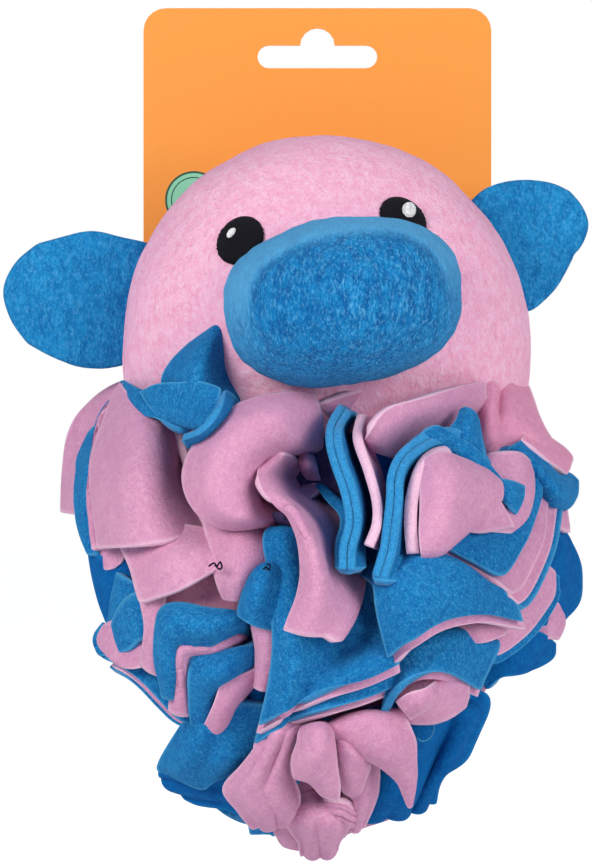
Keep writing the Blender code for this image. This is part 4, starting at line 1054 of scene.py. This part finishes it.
def makeRosettes():
    solids = ((Matrix.Translation(bodyCentre), toy["bodySize"]), (toHead, toy["headSize"]),
              (toHead @ Matrix.Translation(snoutAt), toy["snoutSize"]))
    places = {name: knotPlace(rosette) for name, rosette in rosettes.items()}
    segments = rosetteLook["segments"]
    for seed, (name, rosette) in enumerate(rosettes.items()):
        knot = places[name]
        yaw, lift = math.radians(rosette["azimuth"]), math.radians(rosette["tilt"])
        axis = Vector((math.cos(lift) * math.sin(yaw), -math.cos(lift) * math.cos(yaw), math.sin(lift)))
        side = Vector((math.cos(yaw), math.sin(yaw), 0))
        walls = [((knot + other) / 2, (other - knot).normalized())
                 for key, other in places.items() if key != name]
        colours = ("pink", "blue") if rosette["first"] == "pink" else ("blue", "pink")
        for number in range(rosette["plies"]):
            margin = rosetteLook["margin"] + number * rosetteLook["plyStep"]
            outer = rosetteLook["margin"] + (rosette["plies"] - 1 - number) * rosetteLook["plyStep"]
            room = {key: outer if axis.dot(Vector(way)) > rosetteLook["faces"] else margin
                    for key, way in ways.items()}
            bm = bmesh.new()
            bmesh.ops.create_grid(bm, x_segments=segments, y_segments=segments, size=1)
            for vert in bm.verts:
                point = gathered(vert.co, rosette, number, seed, knot, axis, side)
                vert.co = heldBack(point, walls, solids, margin, room, rosette.get("behind"))
            bmesh.ops.smooth_vert(bm, verts=bm.verts, factor=rosetteLook["smoothing"],
                                  use_axis_x=True, use_axis_y=True, use_axis_z=True)
            bm.normal_update()
            for vert in bm.verts:
                vert.co += vert.normal * lumps(vert.co + Vector((seed, 0, 0)), flapLook)
            bmesh.ops.recalc_face_normals(bm, faces=bm.faces)
            colour = colours[number % 2]
            node = "ruffle_" + rosette["stands"] + "_" + colour
            if node + "_inner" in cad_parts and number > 1:
                node += "_inner"
            clothPiece("ruffle_" + name + "_ply" + str(number + 1), bm, colour, node)


# Ears: two plies each, sewn at the root. The first row of a net is the root.
ears = {
    "left": {"depths": (-0.0040, -0.0062, -0.0075, -0.0070, -0.0055),
             "net": (((150, 244), (140, 275), (134, 300), (128, 330), (123, 364)),
                     ((122, 238), (112, 270), (106, 300), (103, 332), (100, 368)),
                     ((92, 232), (84, 266), (79, 300), (77, 333), (76, 365)),
                     ((62, 239), (50, 268), (44, 298), (46, 328), (54, 356)),
                     ((40, 248), (18, 264), (5, 290), (12, 318), (30, 341)))},
    "right": {"depths": (0.0048, 0.0064, 0.0090, 0.0115, 0.0135),
              "net": (((471, 201), (488, 230), (504, 256), (516, 284), (527, 312)),
                      ((490, 187), (503, 222), (515, 250), (526, 278), (537, 305)),
                      ((520, 181), (526, 214), (534, 243), (543, 268), (551, 290)),
                      ((549, 184), (551, 208), (556, 232), (559, 254), (562, 270)),
                      ((567, 194), (580, 208), (586, 224), (581, 238), (569, 250)))},
}
earLook = {"ply": 0.0017, "gap": 0.00095, "rimGap": 0.55, "step": 0.0014, "seed": 40, "slack": 1.05}


def makeEars():
    for sideName, ear in ears.items():
        net = [[fromPhoto(x, y, depth) for x, y in row] for row, depth in zip(ear["net"], ear["depths"])]
        for ply, side in (("front", -1), ("back", 1)):
            bm = netGrid(net, earLook["seed"], step=earLook["step"])
            for vert in bm.verts:
                inward = vert.normal if vert.normal.y * side > 0 else -vert.normal
                rimShare = 1 if len(vert.link_faces) == 4 else earLook["rimGap"]
                vert.co += inward * earLook["gap"] * rimShare
            name = "ear_" + sideName + "_" + ply
            piece = keepMesh("earCloth_" + sideName + "_" + ply, bm, fleeces["earBlue"], edges["blue"])
            thicken(piece, earLook["ply"])
            soften(piece)
            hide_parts(name)
            width = lineLength(net[2])
            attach(piece, "ear_" + sideName)


# Eyes: black satin stitch in a raised oval, with a small white glint
eyeLook = {"at": {"left": (240.5, 240.5), "right": (403.0, 219.5)}, "size": (0.01240, 0.01330),
           "rise": 0.0010, "threads": 34,
           "glintAt": {"left": (-7.2, -5.2), "right": (4, -6.5)}, "glintSize": (0.0023, 0.0023 * 1.55),
           "glintRise": 0.0015, "glintThreads": 7, "glintLean": -28}
stitchLook = {"rim": 72, "rings": 10, "depth": 0.00014, "ragged": 0.03, "lift": 0.0002, "wall": 0.0008,
              "flatness": 6, "depthFlatness": 8, "rayTries": 12}


def ontoHead(place):
    # slides a place along the head's own depth axis onto its front, in the head's own frame
    size = Vector(toy["headSize"])
    local = toHead.inverted() @ place
    flat = 1 - (local.x / size.x) ** 2 - (local.z / size.z) ** 2
    local.y = -size.y * math.sqrt(max(flat, 0))
    return local


def onHead(x, y):
    # where a pixel's ray meets the front of the head, and the way out from there
    size = Vector(toy["headSize"])
    depth = -toy["headSize"][1]
    for _ in range(stitchLook["rayTries"]):
        local = ontoHead(fromPhoto(x, y, depth))
        depth = (toHead @ local).y - headCentre.y
    outward = Vector([local[axis] / size[axis] ** 2 for axis in range(3)])
    return toHead @ local, (headTurn @ outward).normalized()


def makeStitchedSpot(name, at, size, rise, threads, finish, stands, lean=0):
    place, outward = onHead(*at)
    across = outward.cross(Vector((0, 0, 1))).normalized()
    upward = across.cross(outward)
    if upward.z < 0:
        upward = -upward
    turn = Matrix.Rotation(math.radians(lean), 3, outward)
    across, upward = turn @ across, turn @ upward
    bm = bmesh.new()
    bmesh.ops.create_circle(bm, cap_ends=True, cap_tris=True, segments=stitchLook["rim"], radius=1)
    spokes = [edge for edge in bm.edges if not edge.is_boundary]
    bmesh.ops.subdivide_edges(bm, edges=spokes, cuts=stitchLook["rings"])
    bmesh.ops.triangulate(bm, faces=bm.faces)
    for vert in bm.verts:
        reach = min(vert.co.length, 1)
        stitch = abs(math.sin(vert.co.y * threads * math.pi / 2))
        swell = (1 - reach ** stitchLook["flatness"]) * rise
        swell += stitch * stitchLook["depth"] * (1 - reach ** stitchLook["depthFlatness"])
        ragged = 1 + stitchLook["ragged"] * math.sin(vert.co.y * threads * math.pi)
        point = place + across * vert.co.x * size[0] / 2 * ragged + upward * vert.co.y * size[1] / 2
        vert.co = toHead @ ontoHead(point) + outward * (swell + stitchLook["lift"])
    bmesh.ops.recalc_face_normals(bm, faces=bm.faces)
    piece = keepMesh(name, bm, finish)
    wall = piece.modifiers.new("thread", "SOLIDIFY")
    wall.thickness = stitchLook["wall"]
    wall.offset = -1 if piece.data.polygons[0].normal.y < 0 else 1
    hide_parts(stands)
    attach(piece, "root")


def makeEyes():
    black = threadFinish("threadBlack", (0.004, 0.004, 0.008), 0.0)
    white = threadFinish("threadWhite", (0.98, 0.98, 0.98), 0.1)
    for side, at in eyeLook["at"].items():
        makeStitchedSpot("eyeStitch_" + side, at, eyeLook["size"], eyeLook["rise"], eyeLook["threads"], black,
                         "eye_" + side)
        glintAt = [start + step for start, step in zip(at, eyeLook["glintAt"][side])]
        makeStitchedSpot("glintStitch_" + side, glintAt, eyeLook["glintSize"], eyeLook["glintRise"],
                         eyeLook["glintThreads"], white, "eye_" + side + "_glint",
                         eyeLook["glintLean"])


# Card: orange print on board, with a bare round spot where a badge would be. Each disc of the spot
# has its share of the radius, and the noises their scale, start, end, share and colour.
card = {"orange": (0.85, 0.305, 0.050), "paper": (0.80, 0.78, 0.72), "edgeTurn": 0.25, "frontTurn": -0.5,
        "spotAt": (194, 200), "spotRadius": 0.0077, "ringIn": 0.76, "ringOut": 0.80, "mintOut": 0.93,
        "mint": (0.24, 0.62, 0.42), "ring": (0.012, 0.08, 0.05),
        "fleck": (900, 0.35, 0.7, 0.05, (0.90, 0.42, 0.13)), "broad": (30, 0.4, 0.6, 0.04, (0.82, 0.27, 0.04)),
        "rough": 0.5, "specular": 0.3, "relief": 0.00004}


def makeCard():
    finish = Finish("cardPrint")
    spot = fromPhoto(*card["spotAt"], toy["cardFront"])
    awayX = finish.node("ShaderNodeSeparateXYZ", {}, {0: finish.place}, "X") - spot.x
    awayZ = finish.node("ShaderNodeSeparateXYZ", {}, {0: finish.place}, "Z") - spot.z
    away = (awayX * awayX + awayZ * awayZ) ** 0.5
    facing = finish.node("ShaderNodeNewGeometry", {}, {}, "Normal")
    facingY = finish.node("ShaderNodeSeparateXYZ", {}, {0: facing}, "Y")
    front = facingY < card["frontTurn"]
    fleck = finish.blotches(card["fleck"][0], 3.0)
    printed = card["orange"]
    for noiseMade, (_, start, end, share, colour) in ((fleck, card["fleck"]),
                                                      (finish.blotches(card["broad"][0]), card["broad"])):
        printed = finish.mix(finish.between(noiseMade, start, end) * share, printed, colour)
    radius = card["spotRadius"]
    ring = (away < radius * card["ringOut"]) * (away > radius * card["ringIn"])
    for share, colour in ((away < radius, "ring"), (away < radius * card["mintOut"], "mint"), (ring, "ring")):
        printed = finish.mix(share * front, printed, card[colour])
    colour = finish.mix((facingY * facingY) < card["edgeTurn"], printed, card["paper"])
    giveMaterial("header_card", finish.finish(colour=colour, rough=card["rough"], specular=card["specular"],
                                              normal=finish.bump(fleck, card["relief"])))


def giveMaterial(node, material):
    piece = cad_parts[node]
    if not piece.material_slots:
        piece.data.materials.append(material)
    for slot in piece.material_slots:
        slot.link = "OBJECT"
        slot.material = material


# The parts inside the toy and its ties, each with one noise between two colours
hiddenParts = {
    "wadding": {"nodes": ("head_stuffing_front", "head_stuffing_back", "snout_stuffing", "body_stuffing"),
                "noise": (300, 6.0, 0.7), "colours": ((0.66, 0.66, 0.63), (0.86, 0.86, 0.83)),
                "relief": 0.0012, "look": {"rough": 1.0, "sheen": 0.3}},
    "vinyl": {"nodes": ("squeaker_bulb",),
              "noise": (120, 3.0), "colours": ((0.74, 0.72, 0.62), (0.84, 0.82, 0.73)),
              "relief": 0.0002, "look": {"rough": 0.42, "subsurface": 0.1}},
    "reedPlastic": {"nodes": ("squeaker_reed",),
                    "noise": (400,), "colours": ((0.80, 0.80, 0.79), (0.88, 0.88, 0.87)),
                    "relief": 0.00005, "look": {"rough": 0.3}},
    "nylon": {"nodes": ("card_tie_left", "card_tie_right"),
              "noise": (800,), "colours": ((0.68, 0.69, 0.70), (0.82, 0.83, 0.84)),
              "relief": 0.00003, "look": {"rough": 0.28, "subsurface": 0.2}},
}


def makeHiddenParts():
    for name, part in hiddenParts.items():
        finish = Finish(name)
        mottle = finish.blotches(*part["noise"])
        material = finish.finish(colour=finish.mix(mottle, *part["colours"]),
                                 normal=finish.bump(mottle, part["relief"]), **part["look"])
        for node in part["nodes"]:
            giveMaterial(node, material)


# Stage: the camera sees a white floor and world, and the world lights the toy as a dim blue shade
stageLook = {"half": 4.0, "drop": 0.05, "white": (0.9, 0.9, 0.9), "rough": 0.9,
             "glow": 1.26, "glowShare": 0.75}
lights = {"world": 0.24, "shade": (0.50, 0.62, 1.0), "tint": (1.0, 0.975, 0.90),
          "lamps": (("key", (-0.62, -0.72, 0.36), 0.40, 6.9), ("fill", (0.68, -0.68, 0.26), 0.60, 5.8),
                    ("top", (0.0, 0.10, 0.90), 0.60, 0.4), ("behind", (0.10, 0.90, 0.40), 0.70, 3.0))}


def makeStage():
    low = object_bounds()[0]
    white = Finish("stageWhite")
    white.finish(colour=stageLook["white"], rough=stageLook["rough"])
    glow = white.node("ShaderNodeEmission", {}, {"Color": (1, 1, 1), "Strength": stageLook["glow"]})
    seen = white.node("ShaderNodeLightPath", {}, {}, "Is Camera Ray")
    plain = Signal(white, white.shader.outputs[0])
    blend = white.node("ShaderNodeMixShader", {}, {0: seen * stageLook["glowShare"], 1: plain, 2: glow})
    white.join(blend, white.tree.nodes["Material Output"].inputs["Surface"])
    bm = bmesh.new()
    bmesh.ops.create_grid(bm, x_segments=1, y_segments=1, size=stageLook["half"])
    floor = keepMesh("floor", bm, white.look)
    floor.location = (0, 0, low.z - stageLook["drop"])

    world = Finish("studio", "worlds", "Background")
    camera, glossy, through = [world.node("ShaderNodeLightPath", {}, {}, "Is " + kind + " Ray")
                               for kind in ("Camera", "Glossy", "Transmission")]
    seen = camera.maths("MAXIMUM", glossy).maths("MAXIMUM", through)
    strength = world.node("ShaderNodeMapRange", {}, {"Value": seen, "To Min": lights["world"], "To Max": 1.0})
    world.join(world.mix(seen, lights["shade"], (1, 1, 1)), world.shader.inputs["Color"])
    world.join(strength, world.shader.inputs["Strength"])
    bpy.context.scene.world = world.look


def makeLights():
    for name, place, size, power in lights["lamps"]:
        lamp = bpy.data.lights.new(name, "AREA")
        lamp.size = size
        lamp.energy = power
        lamp.color = lights["tint"]
        holder = keepObject(name, lamp)
        holder.location = headCentre + Vector(place)
        holder.rotation_euler = (-Vector(place)).to_track_quat("-Z", "Y").to_euler()


def makeCamera():
    camera = bpy.data.cameras.new("camera")
    camera.sensor_width = view["sensor"]
    camera.lens = view["sensor"] * view["distance"] / (view["frameHeight"] * view["pixel"])
    camera.clip_start, camera.clip_end = view["near"], view["far"]
    holder = keepObject("camera", camera)
    holder.location = eyePoint
    holder.rotation_euler = (math.pi / 2, 0, 0)
    bpy.context.scene.camera = holder
    bpy.context.scene.view_settings.view_transform = "Standard"


makeCamera()
print("sewing the head, snout and body")
makeHead()
makeSnout()
makeBody()
makeEyes()
print("cutting the ears")
makeEars()
print("gathering the front flaps")
makeFlaps()
makeThreadEnds()
print("gathering the rosettes")
makeRosettes()
print("printing the card")
makeCard()
makeHiddenParts()
makeLights()
makeStage()
